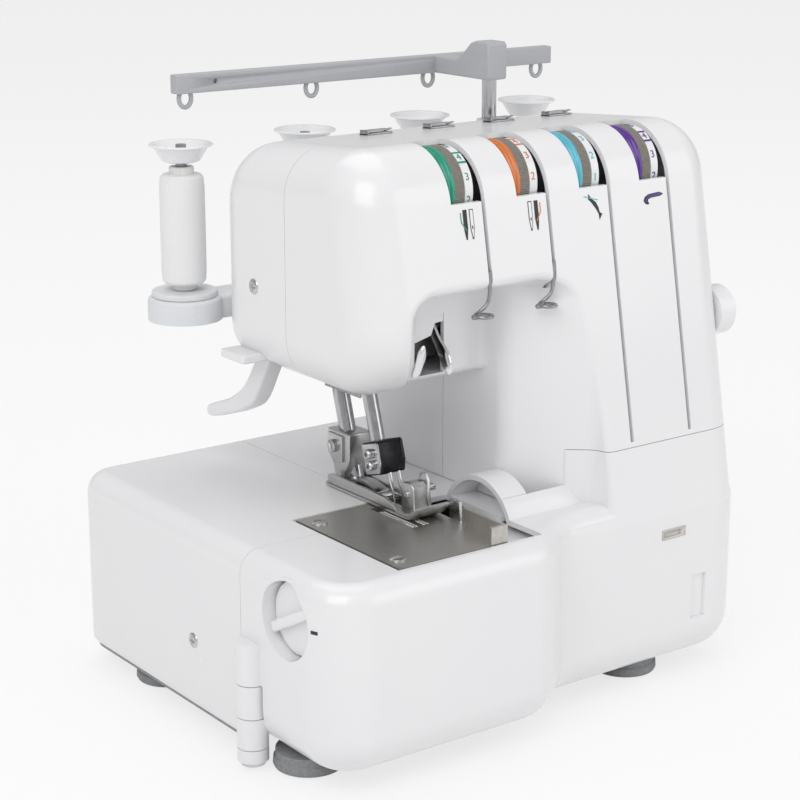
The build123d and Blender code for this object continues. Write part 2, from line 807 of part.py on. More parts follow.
# Cast frame: a post on the pan, an arm, the block that guides the two bars, the boss of the pole tube
# and the four plates that carry the dial spindles
bush_radius = 9.0
bush_length = 10.0
boss_low = 180.0
boss_high = 200.0
boss_margin = 4.0
lug_length = 8.0
with BuildPart() as arm_frame:
    block((post_left, post_front, pan_top), (post_right, post_back, frame_top))
    block((head_block_right, post_front + 5, arm_bottom), (post_left, post_back, frame_top))
    side_plate(
        (
            (post_front, head_block_bottom),
            (post_front, frame_top),
            (head_back - wall - clear, frame_top),
            (head_back - wall - clear, head_bottom + back_round + wall),
            (head_back - wall - back_round / 2, head_block_bottom),
        ),
        head_block_left,
        head_block_right,
    )
    block(
        (pole_x - pole_tube_radius - boss_margin, post_back, boss_low),
        (pole_x + pole_tube_radius + boss_margin, pole_y + pole_tube_radius + 2, boss_high),
    )
    block(
        (takeup_x + 2.5, takeup_y - 6, takeup_z - 6),
        (takeup_x + 2.5 + lug_length, post_front, takeup_z + 6),
    )
    for slot_x in dial_slots:
        plate_x = slot_x - window_width - dial_plate_gap / 2
        side_plate(
            (
                (post_front + 30, frame_top),
                (post_front + 5, frame_top),
                (dial_y - 6.5, dial_z - 8),
                (dial_y - 6.5, dial_z + 6),
                (dial_y + 6.5, dial_z + 6),
                (post_front + 30, frame_top + 10),
            ),
            plate_x - dial_plate_thickness,
            plate_x,
        )
        rod((plate_x, dial_y, dial_z), (1, 0, 0), spindle_radius, dial_width + dial_plate_gap)
    rod((post_left, shaft_y, shaft_z), (1, 0, 0), shaft_radius + 1, post_right - post_left, mode=Mode.SUBTRACT)
    for bush_x in (post_left, post_right - bush_length):
        rod((bush_x, shaft_y, shaft_z), (1, 0, 0), bush_radius, bush_length, mode=Mode.SUBTRACT)
    bar_rod(0, 0, 0, far, needle_bar_radius + running_fit, mode=Mode.SUBTRACT)
    bar_rod(0, bar_spacing, 0, far, presser_bar_radius + running_fit, mode=Mode.SUBTRACT)
    rod((pole_x, pole_y, 0), (0, 0, 1), pole_tube_radius + running_fit, far, mode=Mode.SUBTRACT)
    rod((head_block_left, lifter_y, lifter_z), (1, 0, 0), 3 + running_fit, lug_length, mode=Mode.SUBTRACT)
    rod(
        (takeup_x, takeup_y, takeup_z), (1, 0, 0), 2.5 + running_fit, 2.5 + lug_length, mode=Mode.SUBTRACT
    )
finish(arm_frame, "arm_frame")

with BuildPart() as shaft_bushes:
    for bush_x in (post_left, post_right - bush_length):
        rod((bush_x, shaft_y, shaft_z), (1, 0, 0), bush_radius, bush_length)
    rod((0, shaft_y, shaft_z), (1, 0, 0), shaft_radius + running_fit, far, mode=Mode.SUBTRACT)
finish(shaft_bushes, "shaft_bushes")

# Tension dials: a coloured rim, a ribbed grip and a plain band for the numbers
for number, slot_x in enumerate(dial_slots, 1):
    dial_left = slot_x - window_width + dial_plate_gap / 2
    with BuildPart() as tension_dial:
        rod((dial_left, dial_y, dial_z), (1, 0, 0), dial_radius, dial_width - dial_band_width)
        rod((dial_left, dial_y, dial_z), (1, 0, 0), dial_radius - dial_band_step, dial_width)
        rod(
            (dial_left, dial_y, dial_z), (1, 0, 0), spindle_radius + running_fit,
            dial_width, mode=Mode.SUBTRACT,
        )
    finish(tension_dial, "tension_dial_" + str(number))

# Main shaft with its crank disc, hand wheel and drive pulley
shaft_left = needle_x + 29.5
crank_radius = 12.0
crank_width = 6.0
wheel_gap = 0.6
wheel_left = body_right + wheel_gap
with BuildPart() as main_shaft:
    rod((shaft_left, shaft_y, shaft_z), (1, 0, 0), shaft_radius, overall_width / 2 - 2 - shaft_left)
    rod((shaft_left, shaft_y, shaft_z), (1, 0, 0), crank_radius, crank_width)
finish(main_shaft, "main_shaft")

wheel_dish = 20.0
with BuildPart() as hand_wheel:
    rod((wheel_left, shaft_y, shaft_z), (1, 0, 0), wheel_radius, overall_width / 2 - wheel_left)
    fillet(hand_wheel.edges().sort_by(Axis.X)[-1], 3.0)
    rod((overall_width / 2 - 4, shaft_y, shaft_z), (1, 0, 0), wheel_dish, 5, mode=Mode.SUBTRACT)
    rod((wheel_left, shaft_y, shaft_z), (1, 0, 0), shaft_radius, overall_width / 2 - 2 - wheel_left,
        mode=Mode.SUBTRACT)
finish(hand_wheel, "hand_wheel")

pulley_width = belt_width + 2.0
with BuildPart() as drive_pulley:
    rod((pulley_x - 1, shaft_y, shaft_z), (1, 0, 0), pulley_radius, pulley_width)
    rod((pulley_x - 1, shaft_y, shaft_z), (1, 0, 0), shaft_radius, pulley_width, mode=Mode.SUBTRACT)
finish(drive_pulley, "drive_pulley")

# Motor on feet, its pulley and the belt
motor_left = post_left + 2.0
motor_right = pulley_x - 3.0
motor_shaft_radius = 4.0
with BuildPart() as motor:
    rod((motor_left, motor_y, motor_z), (1, 0, 0), motor_radius, motor_right - motor_left)
    block(
        (motor_left + 5, motor_y - 20, pan_top),
        (motor_right - 5, motor_y + 20, motor_z - motor_radius / 2),
    )
    rod(
        (motor_right - 15, motor_y, motor_z), (1, 0, 0),
        motor_shaft_radius + running_fit, 15, mode=Mode.SUBTRACT,
    )
finish(motor, "motor")

with BuildPart() as motor_pulley:
    rod((motor_right - 14, motor_y, motor_z), (1, 0, 0), motor_shaft_radius, 14 + pulley_width)
    rod((pulley_x - 1, motor_y, motor_z), (1, 0, 0), motor_pulley_radius, pulley_width)
finish(motor_pulley, "motor_pulley")


def belt_loop(growth):
    """Side view of the belt's loop, grown outwards from the two pulleys."""
    with BuildSketch() as loop:
        with Locations((shaft_y, shaft_z)):
            Circle(pulley_radius + growth)
        with Locations((motor_y, motor_z)):
            Circle(motor_pulley_radius + growth)
        make_hull()
    return loop.sketch


with BuildPart() as drive_belt:
    with BuildSketch(Plane.YZ.offset(pulley_x)):
        add(belt_loop(clear + belt_thickness))
        add(belt_loop(clear), mode=Mode.SUBTRACT)
    extrude(amount=belt_width)
finish(drive_belt, "drive_belt")

# Looper frame on the pan: the knife's guide, the upper looper's guide and the lower looper's bearing
looper_base = 4.0
knife_arm_left = plate_right + knife_thickness + knife_gap
knife_arm_width = 3.0
guide_left = knife_arm_left + knife_arm_width + clear
looper_shaft_radius = 3.0
looper_rod_radius = 3.0
looper_back = needle_y + 29.0
looper_bearing_front = needle_y + 14.0
looper_plane = Plane(
    origin=(upper_looper_x, upper_looper_y, upper_looper_z),
    x_dir=(0, 1, 0),
    z_dir=(-sin(radians(upper_looper_lean)), 0, cos(radians(upper_looper_lean))),
)
with BuildPart() as looper_frame:
    block((guide_left, knife_y - 3, pan_top), (post_left - 6, looper_back, pan_top + looper_base))
    block((guide_left, knife_y - 3, pan_top), (guide_left + 6, knife_y + 9, 74))
    block(
        (upper_looper_x + 15, upper_looper_y - 6, pan_top),
        (upper_looper_x + 27, upper_looper_y + 6, 58),
    )
    block(
        (looper_pivot_x - 8, looper_bearing_front, pan_top),
        (looper_pivot_x + 8, looper_back, looper_pivot_z + 8),
    )
    rod(
        (looper_pivot_x, looper_bearing_front, looper_pivot_z), (0, 1, 0),
        looper_shaft_radius + running_fit, looper_back - looper_bearing_front, mode=Mode.SUBTRACT,
    )
    with Locations(looper_plane.location * Pos(0, 0, -70)):
        Cylinder(
            looper_rod_radius + running_fit, 70,
            align=(Align.CENTER, Align.CENTER, Align.MIN), mode=Mode.SUBTRACT,
        )
finish(looper_frame, "looper_frame")

upper_looper_length = 60.0
with BuildPart() as upper_looper:
    with Locations(looper_plane.location * Pos(0, 0, -upper_looper_length)):
        Cylinder(
            looper_rod_radius, upper_looper_length - 8,
            align=(Align.CENTER, Align.CENTER, Align.MIN),
        )
    with Locations(looper_plane.location * Pos(0, 0, -8)):
        Cone(looper_rod_radius, 0.8, 8, align=(Align.CENTER, Align.CENTER, Align.MIN))
finish(upper_looper, "upper_looper")

looper_blade_front = needle_y + 2.5
looper_blade_back = needle_y + 4.5
looper_boss_radius = 7.0
with BuildPart() as lower_looper:
    rod(
        (looper_pivot_x, looper_blade_front, looper_pivot_z), (0, 1, 0),
        looper_shaft_radius, looper_back - looper_blade_front,
    )
    rod(
        (looper_pivot_x, looper_blade_front, looper_pivot_z), (0, 1, 0),
        looper_boss_radius, looper_bearing_front - looper_blade_front - clear,
    )
    front_plate(
        (
            (looper_pivot_x - 4, looper_pivot_z),
            (looper_pivot_x + 4, looper_pivot_z),
            (looper_pivot_x + 4, looper_pivot_z + 40),
            (looper_pivot_x - 2, looper_pivot_z + 46),
            (looper_pivot_x - 11, looper_pivot_z + 43.5),
            (looper_pivot_x - 3, looper_pivot_z + 40),
        ),
        looper_blade_front,
        looper_blade_back,
    )
finish(lower_looper, "lower_looper")

# Knives: the lower one fixed to the bed arm's edge, the upper one sliding up and down on its guide
with BuildPart() as lower_knife:
    block(
        (plate_right, notch_front - 10, arm_plate_bottom - 8),
        (plate_right + knife_thickness, knife_y + 5, bed_top - 0.4),
    )
finish(lower_knife, "lower_knife")

with BuildPart() as upper_knife:
    block(
        (knife_arm_left, knife_y - 3, 50),
        (knife_arm_left + knife_arm_width, knife_y + 9, bed_top - 3),
    )
    side_plate(
        (
            (knife_y - 3, bed_top - 5),
            (knife_y + 6, bed_top - 5),
            (knife_y + 6, bed_top + 8),
            (knife_y - 1, bed_top + 8),
        ),
        knife_arm_left,
        knife_arm_left + knife_thickness,
    )
finish(upper_knife, "upper_knife")

# Feed dog: two toothed rows on a carrier that slides under the bed arm
tooth_pitch = 2.0
row_top = bed_top - 0.6
carrier_bottom = arm_plate_bottom - 6.0
with BuildPart() as feed_dog:
    block(
        (feed_left, feed_front, carrier_bottom),
        (feed_right, post_back - 15, arm_plate_bottom - clear),
    )
    for row_left in (feed_left, feed_right - feed_row_width):
        block((row_left, feed_front, carrier_bottom), (row_left + feed_row_width, feed_back, row_top))
    tooth_count = int((feed_back - feed_front) / tooth_pitch)
    for tooth in range(1, tooth_count):
        tooth_y = feed_front + tooth * tooth_pitch
        side_plate(
            ((tooth_y - 0.6, row_top), (tooth_y, row_top - 0.9), (tooth_y + 0.6, row_top)),
            feed_left, feed_right, mode=Mode.SUBTRACT,
        )
finish(feed_dog, "feed_dog")

# Needle bar, its clamp, the clamp's screws and two needles
with BuildPart() as needle_bar:
    bar_rod(0, 0, along_bar(needle_bar_low), along_bar(needle_bar_high), needle_bar_radius)
finish(needle_bar, "needle_bar")

needle_xs = (-needle_spread / 2, needle_spread / 2)
clamp_front = needle_offset + 4.0
clamp_back = needle_bar_radius + 1.5
with BuildPart() as needle_clamp:
    block(
        (-clamp_width / 2, -clamp_front, 1 - clamp_height),
        (clamp_width / 2, clamp_back, 1),
        plane=bar_plane,
    )
    chamfer(needle_clamp.edges().filter_by(Axis.X).sort_by(Axis.Y)[0], 2.0)
    bar_rod(0, 0, along_bar(needle_bar_low), far, needle_bar_radius, mode=Mode.SUBTRACT)
    for needle_offset_x in needle_xs:
        bar_rod(needle_offset_x, -needle_offset, -far, -5, 2 * needle_radius, mode=Mode.SUBTRACT)
finish(needle_clamp, "needle_clamp")

with BuildPart() as clamp_screws:
    for screw_drop in (5.0, 10.0):
        screw_place = Pos(-clamp_width / 2, -needle_offset + 4, -screw_drop)
        with Locations(bar_plane.location * screw_place * Rot(0, -90, 0)):
            Cylinder(2.0, 3.0, align=(Align.CENTER, Align.CENTER, Align.MIN))
finish(clamp_screws, "clamp_screws")

with BuildPart() as needles:
    for needle_offset_x in needle_xs:
        bar_rod(needle_offset_x, -needle_offset, 1 - clamp_height - 6, -5, 2 * needle_radius)
        bar_rod(needle_offset_x, -needle_offset, along_bar(needle_tip_z), 1 - clamp_height - 6, needle_radius)
finish(needles, "needles")

# Presser bar, ankle and foot
presser_low = 108.0
presser_high = 205.0
with BuildPart() as presser_bar:
    bar_rod(0, bar_spacing, along_bar(presser_low), along_bar(presser_high), presser_bar_radius)
finish(presser_bar, "presser_bar")

sole_bottom = bed_top + sole_lift
sole_top = sole_bottom + sole_thickness
ankle_front = needle_y + 31.0
ankle_back = needle_y + 49.0
ankle_bottom = sole_top + 4.0
with BuildPart() as presser_ankle:
    block((needle_x - 6.5, ankle_front, ankle_bottom), (needle_x + 6.5, ankle_back, ankle_top))
    block((needle_x - 3.5, ankle_front + 3, sole_top), (needle_x + 3.5, ankle_back - 4, ankle_bottom))
    bar_rod(0, bar_spacing, along_bar(presser_low), far, presser_bar_radius, mode=Mode.SUBTRACT)
finish(presser_ankle, "presser_ankle")

toe_length = 8.0
toe_rise = 5.0
with BuildPart() as presser_foot:
    side_plate(
        (
            (foot_back, sole_bottom),
            (foot_back, sole_top),
            (foot_front, sole_top),
            (foot_front - toe_length, sole_top + toe_rise),
            (foot_front - toe_length - 1, sole_top + toe_rise - 2),
            (foot_front, sole_bottom),
        ),
        foot_left,
        foot_right,
    )
    block((foot_left, foot_front + 12, sole_top), (foot_left + 1.5, foot_back - 2, sole_top + 4))
    block((foot_left + 5.5, foot_front + 4, sole_top), (foot_left + 13.5, foot_front + 14, sole_top + 9))
    block((foot_left + 13.5, foot_front + 6, sole_top + 5), (foot_right + 1, foot_front + 12, sole_top + 8))
    block(
        (needle_x - needle_spread, needle_slot_front - 1, 0),
        (needle_x + needle_spread, needle_slot_back + 1, far),
        mode=Mode.SUBTRACT,
    )
finish(presser_foot, "presser_foot")

# Lifter lever behind the head, on a pin in the head block
with BuildPart() as presser_lifter:
    rod(
        (lifter_x - lifter_width / 2, lifter_y, lifter_z), (1, 0, 0), 3,
        head_block_left + lug_length - lifter_x + lifter_width / 2,
    )
    rod((lifter_x - lifter_width / 2, lifter_y, lifter_z), (1, 0, 0), 6, lifter_width)
    side_plate(
        (
            (lifter_y - 5, lifter_z),
            (lifter_y + 5, lifter_z + 2),
            (lifter_y + 22, lifter_z - 22),
            (lifter_y + 56, lifter_z - 40),
            (lifter_y + 55, lifter_z - 45),
            (lifter_y + 16, lifter_z - 32),
        ),
        lifter_x - lifter_width / 2,
        lifter_x + lifter_width / 2,
    )
finish(presser_lifter, "presser_lifter")

# Take-up lever with its pin, and the fixed guard and guide round it
with BuildPart() as takeup_lever:
    rod((takeup_x, takeup_y, takeup_z), (1, 0, 0), 2.5, 2.5 + lug_length)
    side_plate(
        (
            (takeup_y + 2.5, takeup_z + 3),
            (takeup_y - 4, takeup_z + 3),
            (takeup_y - 14, takeup_z - 11),
            (takeup_y - 21, takeup_z - 18),
            (takeup_y - 20, takeup_z - 25),
            (takeup_y - 14, takeup_z - 20.5),
            (takeup_y - 5, takeup_z - 8),
            (takeup_y + 2.5, takeup_z - 4),
        ),
        takeup_x,
        takeup_x + 1.6,
    )
finish(takeup_lever, "takeup_lever")

guard_thickness = 1.2
bracket_width = 7.0
bracket_drop = 4.0
with BuildPart() as head_guides:
    front_plate(
        (
            (takeup_left - 1.8, head_bottom + 3),
            (takeup_left + 2, head_bottom + 3),
            (takeup_left + 6, head_bottom + 10),
            (takeup_left + 5, head_bottom + 17),
            (takeup_left + 1, head_bottom + 15),
        ),
        scoop_back - guard_thickness,
        scoop_back,
    )
    block(
        (opening_left - bracket_width, opening_front - 8, head_bottom - bracket_drop),
        (opening_left, opening_front + 20, head_bottom),
    )
    block(
        (opening_left - bracket_width + 2, opening_front - 6, 0),
        (opening_left - 2, opening_front + 18, head_bottom - 1),
        mode=Mode.SUBTRACT,
    )
finish(head_guides, "head_guides")

# Wire guides that hang under the two short thread slots
wire_radius = 0.9
eye_radius = 3.4
eye_drop = 12.0
wire_tail = 8.0
wire_y = front_at(scoop_top) + 1.6
with BuildPart() as thread_guides:
    for slot_x in dial_slots[:2]:
        rod((slot_x, wire_y, scoop_top - eye_drop), (0, 0, 1), wire_radius, eye_drop + wire_tail)
        with Locations((slot_x - eye_radius, wire_y, scoop_top - eye_drop)):
            Torus(eye_radius, wire_radius)
finish(thread_guides, "thread_guides")

# Thread clips on the rear cover's top
clip_length = 14.0
clip_height = 2.5
clip_depth = 7.0
clip_floor = 1.0
clip_slot = 2.0
clip_end = 3.0
clip_offset = 1.0
clip_y = needle_y + 45.0
with BuildPart() as thread_clips:
    for slot_x in dial_slots:
        with Locations(Location((slot_x + clip_offset, clip_y, top_at(clip_y)), (-top_lean, 0, 0))):
            Box(clip_length, clip_depth, clip_height, align=(Align.CENTER, Align.CENTER, Align.MIN))
        with Locations(Location((slot_x + clip_offset, clip_y, top_at(clip_y)), (-top_lean, 0, 0))):
            with Locations((-clip_end, 0, clip_floor)):
                Box(
                    clip_length, clip_slot, clip_height,
                    align=(Align.CENTER, Align.CENTER, Align.MIN), mode=Mode.SUBTRACT,
                )
finish(thread_clips, "thread_clips")

# Pole tube in the frame, the sliding pole and the guide bar with its hooks
pole_tube_top = top_at(pole_y)
with BuildPart() as pole_tube:
    rod((pole_x, pole_y, pole_tube_bottom), (0, 0, 1), pole_tube_radius, pole_tube_top - pole_tube_bottom)
    rod((pole_x, pole_y, 0), (0, 0, 1), pole_radius + running_fit, far, mode=Mode.SUBTRACT)
finish(pole_tube, "pole_tube")

bar_bottom = bar_top - bar_height
connector_radius = 7.0
bar_left = needle_x - 54.5
bar_right = needle_x + 169.5
pole_top = bar_top - 2.0
with BuildPart() as guide_pole:
    rod((pole_x, pole_y, pole_bottom), (0, 0, 1), pole_radius, pole_top - pole_bottom)
finish(guide_pole, "guide_pole")

hook_radius = 3.2
hook_wire = 1.0
first_hook_x = needle_x - 48.5
with BuildPart() as guide_bar:
    block(
        (bar_left, stand_y - bar_thickness / 2, bar_bottom),
        (bar_right, stand_y + bar_thickness / 2, bar_top),
    )
    block((pole_x - 6, pole_y, bar_bottom), (pole_x + 6, stand_y, bar_top))
    rod((pole_x, pole_y, bar_bottom), (0, 0, 1), connector_radius, overall_height - bar_bottom)
    fillet(guide_bar.edges().sort_by(Axis.Z)[-1], 2.0)
    rod((pole_x, pole_y, 0), (0, 0, 1), pole_radius, pole_top, mode=Mode.SUBTRACT)
    for hook in range(4):
        hook_x = first_hook_x + hook * hook_pitch
        with Locations(Location((hook_x, stand_y, bar_bottom - hook_radius), (90, 0, 0))):
            Torus(hook_radius, hook_wire)
finish(guide_bar, "guide_bar")

# Spool stand behind the head, with pins, pads and caps
stand_bottom = stand_top - stand_thickness
neck_left = needle_x + 25.0
neck_right = needle_x + 85.0
beam_half = 10.0
with BuildPart() as spool_stand:
    with BuildSketch(Plane.XY.offset(stand_bottom)):
        with Locations(*[(x, stand_y) for x in pin_xs]):
            Circle(stand_disc_radius)
        with Locations(((pin_xs[0] + pin_xs[-1]) / 2, stand_y)):
            Rectangle(pin_xs[-1] - pin_xs[0], 2 * beam_half)
    extrude(amount=stand_thickness)
    fillet(spool_stand.edges().group_by(Axis.Z)[-1], 2.0)
    block((neck_left, head_back + clear, stand_bottom), (neck_right, stand_y, stand_top - 2))
    for pin_x in pin_xs:
        rod((pin_x, stand_y, stand_top - pin_seat), (0, 0, 1), pin_radius, stand_thickness, mode=Mode.SUBTRACT)
finish(spool_stand, "spool_stand")

with BuildPart() as spool_pins:
    for pin_x in pin_xs:
        rod((pin_x, stand_y, stand_top - pin_seat), (0, 0, 1), pin_radius, pin_top - stand_top + pin_seat)
finish(spool_pins, "spool_pins")

with BuildPart() as spool_pads:
    for pin_x in pin_xs:
        rod((pin_x, stand_y, stand_top), (0, 0, 1), pad_radius, pad_thickness)
    for pin_x in pin_xs:
        rod((pin_x, stand_y, stand_top), (0, 0, 1), pin_radius, pad_thickness, mode=Mode.SUBTRACT)
finish(spool_pads, "spool_pads")

cap_wall = 1.5
cap_dish = 4.0
dish_radius = cap_base_radius - 2 * cap_wall
with BuildPart() as spool_caps:
    for pin_x, cap_rim in zip(pin_xs, cap_rims):
        with Locations((pin_x, stand_y, cap_rim)):
            Cone(cap_base_radius, cap_rim_radius, cap_height, align=(Align.CENTER, Align.CENTER, Align.MAX))
            Cone(
                dish_radius, cap_rim_radius - cap_wall, cap_dish,
                align=(Align.CENTER, Align.CENTER, Align.MAX), mode=Mode.SUBTRACT,
            )
        rod((pin_x, stand_y, stand_top), (0, 0, 1), pin_radius, far, mode=Mode.SUBTRACT)
finish(spool_caps, "spool_caps")

# Thread spool on the first pin: a core and the wound pack
spool_bottom = stand_top + pad_thickness + clear
spool_bore = pin_radius + clear
pack_low = spool_bottom + 3.0
pack_high = spool_bottom + 54.5
with BuildPart() as spool_core:
    rod((first_pin_x, stand_y, spool_bottom), (0, 0, 1), spool_core_radius, spool_height)
    rod((first_pin_x, stand_y, 0), (0, 0, 1), spool_bore, far, mode=Mode.SUBTRACT)
finish(spool_core, "spool_core")

with BuildPart() as thread_pack:
    rod((first_pin_x, stand_y, pack_low), (0, 0, 1), spool_pack_radius, pack_high - pack_low)
    fillet(thread_pack.edges(), 1.2)
    rod((first_pin_x, stand_y, 0), (0, 0, 1), spool_core_radius, far, mode=Mode.SUBTRACT)
finish(thread_pack, "thread_pack")

# Setting dials on the right side
setting_radius = 13.0
setting_width = 9.0
for setting_name, setting_z in zip(("stitch_length_dial", "differential_dial"), setting_zs):
    with BuildPart() as setting_dial:
        rod((body_right + clear, setting_y, setting_z), (1, 0, 0), setting_radius, setting_width)
        fillet(setting_dial.edges().sort_by(Axis.X)[-1], 1.5)
        rod((body_right - 8, setting_y, setting_z), (1, 0, 0), setting_shaft_radius, 9)
    finish(setting_dial, setting_name)

# Power switch and inlet on the right side
switch_depth = 4.5
switch_stand_out = 2.0
with BuildPart() as power_switch:
    block(
        (body_right - switch_depth, switch_y - switch_width / 2, switch_z - switch_height / 2),
        (body_right + switch_stand_out, switch_y + switch_width / 2, switch_z + switch_height / 2),
    )
finish(power_switch, "power_switch")

inlet_depth = 12.0
inlet_wall = 2.0
with BuildPart() as power_inlet:
    block(
        (body_right - inlet_depth, inlet_y - inlet_width / 2, switch_z - inlet_height / 2),
        (body_right + 0.5, inlet_y + inlet_width / 2, switch_z + inlet_height / 2),
    )
    block(
        (body_right - inlet_depth + inlet_wall, inlet_y - inlet_width / 2 + inlet_wall,
         switch_z - inlet_height / 2 + inlet_wall),
        (far, inlet_y + inlet_width / 2 - inlet_wall, switch_z + inlet_height / 2 - inlet_wall),
        mode=Mode.SUBTRACT,
    )
    for blade_y in (inlet_y - 4.0, inlet_y + 4.0):
        rod((body_right - inlet_depth, blade_y, switch_z), (1, 0, 0), 1.2, inlet_depth - 2)
finish(power_inlet, "power_inlet")
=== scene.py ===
from math import atan2, cos, pi, radians, sin, tan

import bpy
from mathutils import Matrix, Vector


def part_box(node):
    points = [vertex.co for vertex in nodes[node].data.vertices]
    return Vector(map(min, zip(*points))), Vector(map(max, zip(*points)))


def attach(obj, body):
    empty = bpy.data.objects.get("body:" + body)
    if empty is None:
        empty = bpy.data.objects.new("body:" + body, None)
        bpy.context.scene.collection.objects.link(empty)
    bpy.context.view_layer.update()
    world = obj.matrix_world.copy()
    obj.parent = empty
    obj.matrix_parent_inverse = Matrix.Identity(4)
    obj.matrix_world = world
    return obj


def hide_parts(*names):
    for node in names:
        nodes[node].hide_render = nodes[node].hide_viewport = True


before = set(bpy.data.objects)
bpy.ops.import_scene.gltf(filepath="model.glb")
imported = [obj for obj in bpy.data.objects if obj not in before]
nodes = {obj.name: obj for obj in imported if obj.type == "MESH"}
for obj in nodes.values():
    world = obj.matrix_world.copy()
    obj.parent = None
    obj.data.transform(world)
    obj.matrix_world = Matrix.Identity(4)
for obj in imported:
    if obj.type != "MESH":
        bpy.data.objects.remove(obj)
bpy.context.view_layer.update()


# Studio: a white table that runs out to a white surround, lit by three large soft boxes and a dim sky.
# The camera stands in front and to the left of the machine, a little above its middle.
bpy.context.scene.view_settings.view_transform = "Standard"
camera_data = bpy.data.cameras.new("studio_camera")
camera_data.lens = 93.15
camera_data.sensor_width = 36.0
camera = bpy.data.objects.new("studio_camera", camera_data)
bpy.context.scene.collection.objects.link(camera)
camera.location = (-0.5737, -0.7564, 0.3972)
sight_line = Vector((-0.046, -0.038, 0.150)) - camera.location
camera.rotation_euler = sight_line.to_track_quat("-Z", "Y").to_euler()
bpy.context.scene.camera = camera


def soft_box(name, place, target, size, power):
    """A square soft box aimed at a point."""
    lamp = bpy.data.lights.new(name, "AREA")
    lamp.shape = "SQUARE"
    lamp.size = size
    lamp.energy = power
    holder = bpy.data.objects.new(name, lamp)
    holder.location = place
    holder.rotation_euler = (Vector(target) - Vector(place)).to_track_quat("-Z", "Y").to_euler()
    bpy.context.scene.collection.objects.link(holder)


soft_box("key_box", (-1.3, -0.9, 1.5), (0, 0, 0.15), 1.4, 16.0)
soft_box("fill_box", (1.2, -1.6, 0.9), (0, 0, 0.12), 1.4, 8.0)
soft_box("top_box", (0.2, 0.6, 1.9), (0, 0, 0.1), 1.6, 9.5)


class Wire:
    """A shader socket. Arithmetic on it adds Math nodes, and add() puts any other node in the same tree."""

    def __init__(self, tree, socket):
        self.tree = tree
        self.socket = socket

    def add(self, kind, settings, inputs, out=0):
        """A node with its settings made first, then its inputs, given by its output."""
        node = self.tree.nodes.new(kind)
        for name, value in settings.items():
            if name == "stops":
                for stop, (position, colour) in zip(node.color_ramp.elements, value):
                    stop.position, stop.color = position, colour
            else:
                setattr(node, name, value)
        for name, value in inputs.items():
            if isinstance(value, Wire):
                self.tree.links.new(value.socket, node.inputs[name])
            else:
                node.inputs[name].default_value = value
        return Wire(self.tree, node.outputs[out])

    def into(self, node, name):
        """Feeds a node's named input."""
        self.tree.links.new(self.socket, node.inputs[name])

    def maths(self, operation, other):
        """A Math node of this wire and another wire or number."""
        return self.add("ShaderNodeMath", {"operation": operation}, {0: self, 1: other})

    def __add__(self, other):
        return self.maths("ADD", other)

    def __mul__(self, other):
        return self.maths("MULTIPLY", other)

    __radd__ = __add__
    __rmul__ = __mul__


def new_finish(name, **constants):
    """A material, its shader with the constants set, and the wire of the piece's own coordinates."""
    material = bpy.data.materials.new(name)
    material.use_nodes = True
    tree = material.node_tree
    shader = tree.nodes["Principled BSDF"]
    for socket, value in constants.items():
        shader.inputs[socket.replace("_", " ")].default_value = value
    coordinates = tree.nodes.new("ShaderNodeTexCoord")
    return material, shader, Wire(tree, coordinates.outputs["Object"])


def paper_white(name):
    """The studio's own white: it takes shadow, and is white to the camera and in reflections."""
    material, shader, place = new_finish(name, Base_Color=(0.92, 0.92, 0.92, 1), Roughness=0.9)
    glow_share = 0.75
    tree = material.node_tree
    rays = tree.nodes.new("ShaderNodeLightPath")
    mirrored = Wire(tree, rays.outputs["Is Glossy Ray"])
    seen = Wire(tree, rays.outputs["Is Camera Ray"]).maths("MAXIMUM", mirrored)
    glow = place.add("ShaderNodeEmission", {}, {"Color": (1, 1, 1, 1), "Strength": 1.0})
    paper = Wire(tree, shader.outputs[0])
    mixed = place.add("ShaderNodeMixShader", {}, {0: seen * glow_share, 1: paper, 2: glow})
    mixed.into(tree.nodes["Material Output"], "Surface")
    return material


table_gap = 0.0004
bpy.ops.mesh.primitive_plane_add(size=12.0, location=(0, 0, -table_gap))
table = bpy.context.object
table.name = "white_table"
table.data.materials.append(paper_white("table_white"))

sky_light = 0.48
world = bpy.data.worlds.new("studio_world")
bpy.context.scene.world = world
world.use_nodes = True
sky = world.node_tree.nodes["Background"]
sky_rays = world.node_tree.nodes.new("ShaderNodeLightPath")
sky_seen = Wire(world.node_tree, sky_rays.outputs["Is Camera Ray"])
sky.inputs["Color"].default_value = (1, 1, 1, 1)
(sky_seen * (1 - sky_light) + sky_light).into(sky, "Strength")


# Base: a grey moulded pan, hidden between the covers, on four turned rubber feet.
# The feet are pressed into the pan's underside and flare towards the table.
mm = 0.001
along_x = (1, 0, 0)
along_z = (0, 0, 1)
merge_reach = 1e-6


def cloudy(place, grain, detail):
    """Soft noise over the piece, finer as the grain goes up."""
    return place.add("ShaderNodeTexNoise", {}, {"Vector": place, "Scale": grain, "Detail": detail})


def two_shades(shader, mask, dark, light, low, high):
    """Colours a shader from dark to light as a mask goes from low to high."""
    stops = [(low, (*dark, 1)), (high, (*light, 1))]
    mask.add("ShaderNodeValToRGB", {"stops": stops}, {"Fac": mask}).into(shader, "Base Color")


def relief(shader, height, strength, distance):
    """Gives a shader fine relief from a height."""
    inputs = {"Height": height, "Strength": strength, "Distance": distance}
    height.add("ShaderNodeBump", {}, inputs).into(shader, "Normal")


def grained_plastic(name, light, dark, gloss, grain):
    """Matt moulding: two close shades in a fine grain, with a leathery bump."""
    material, shader, place = new_finish(name, IOR=1.47)
    speck = cloudy(place, grain, 5.0)
    two_shades(shader, speck, dark, light, 0.35, 0.65)
    (speck * 0.16 + gloss).into(shader, "Roughness")
    relief(shader, speck, 0.08, 0.0003)
    return material


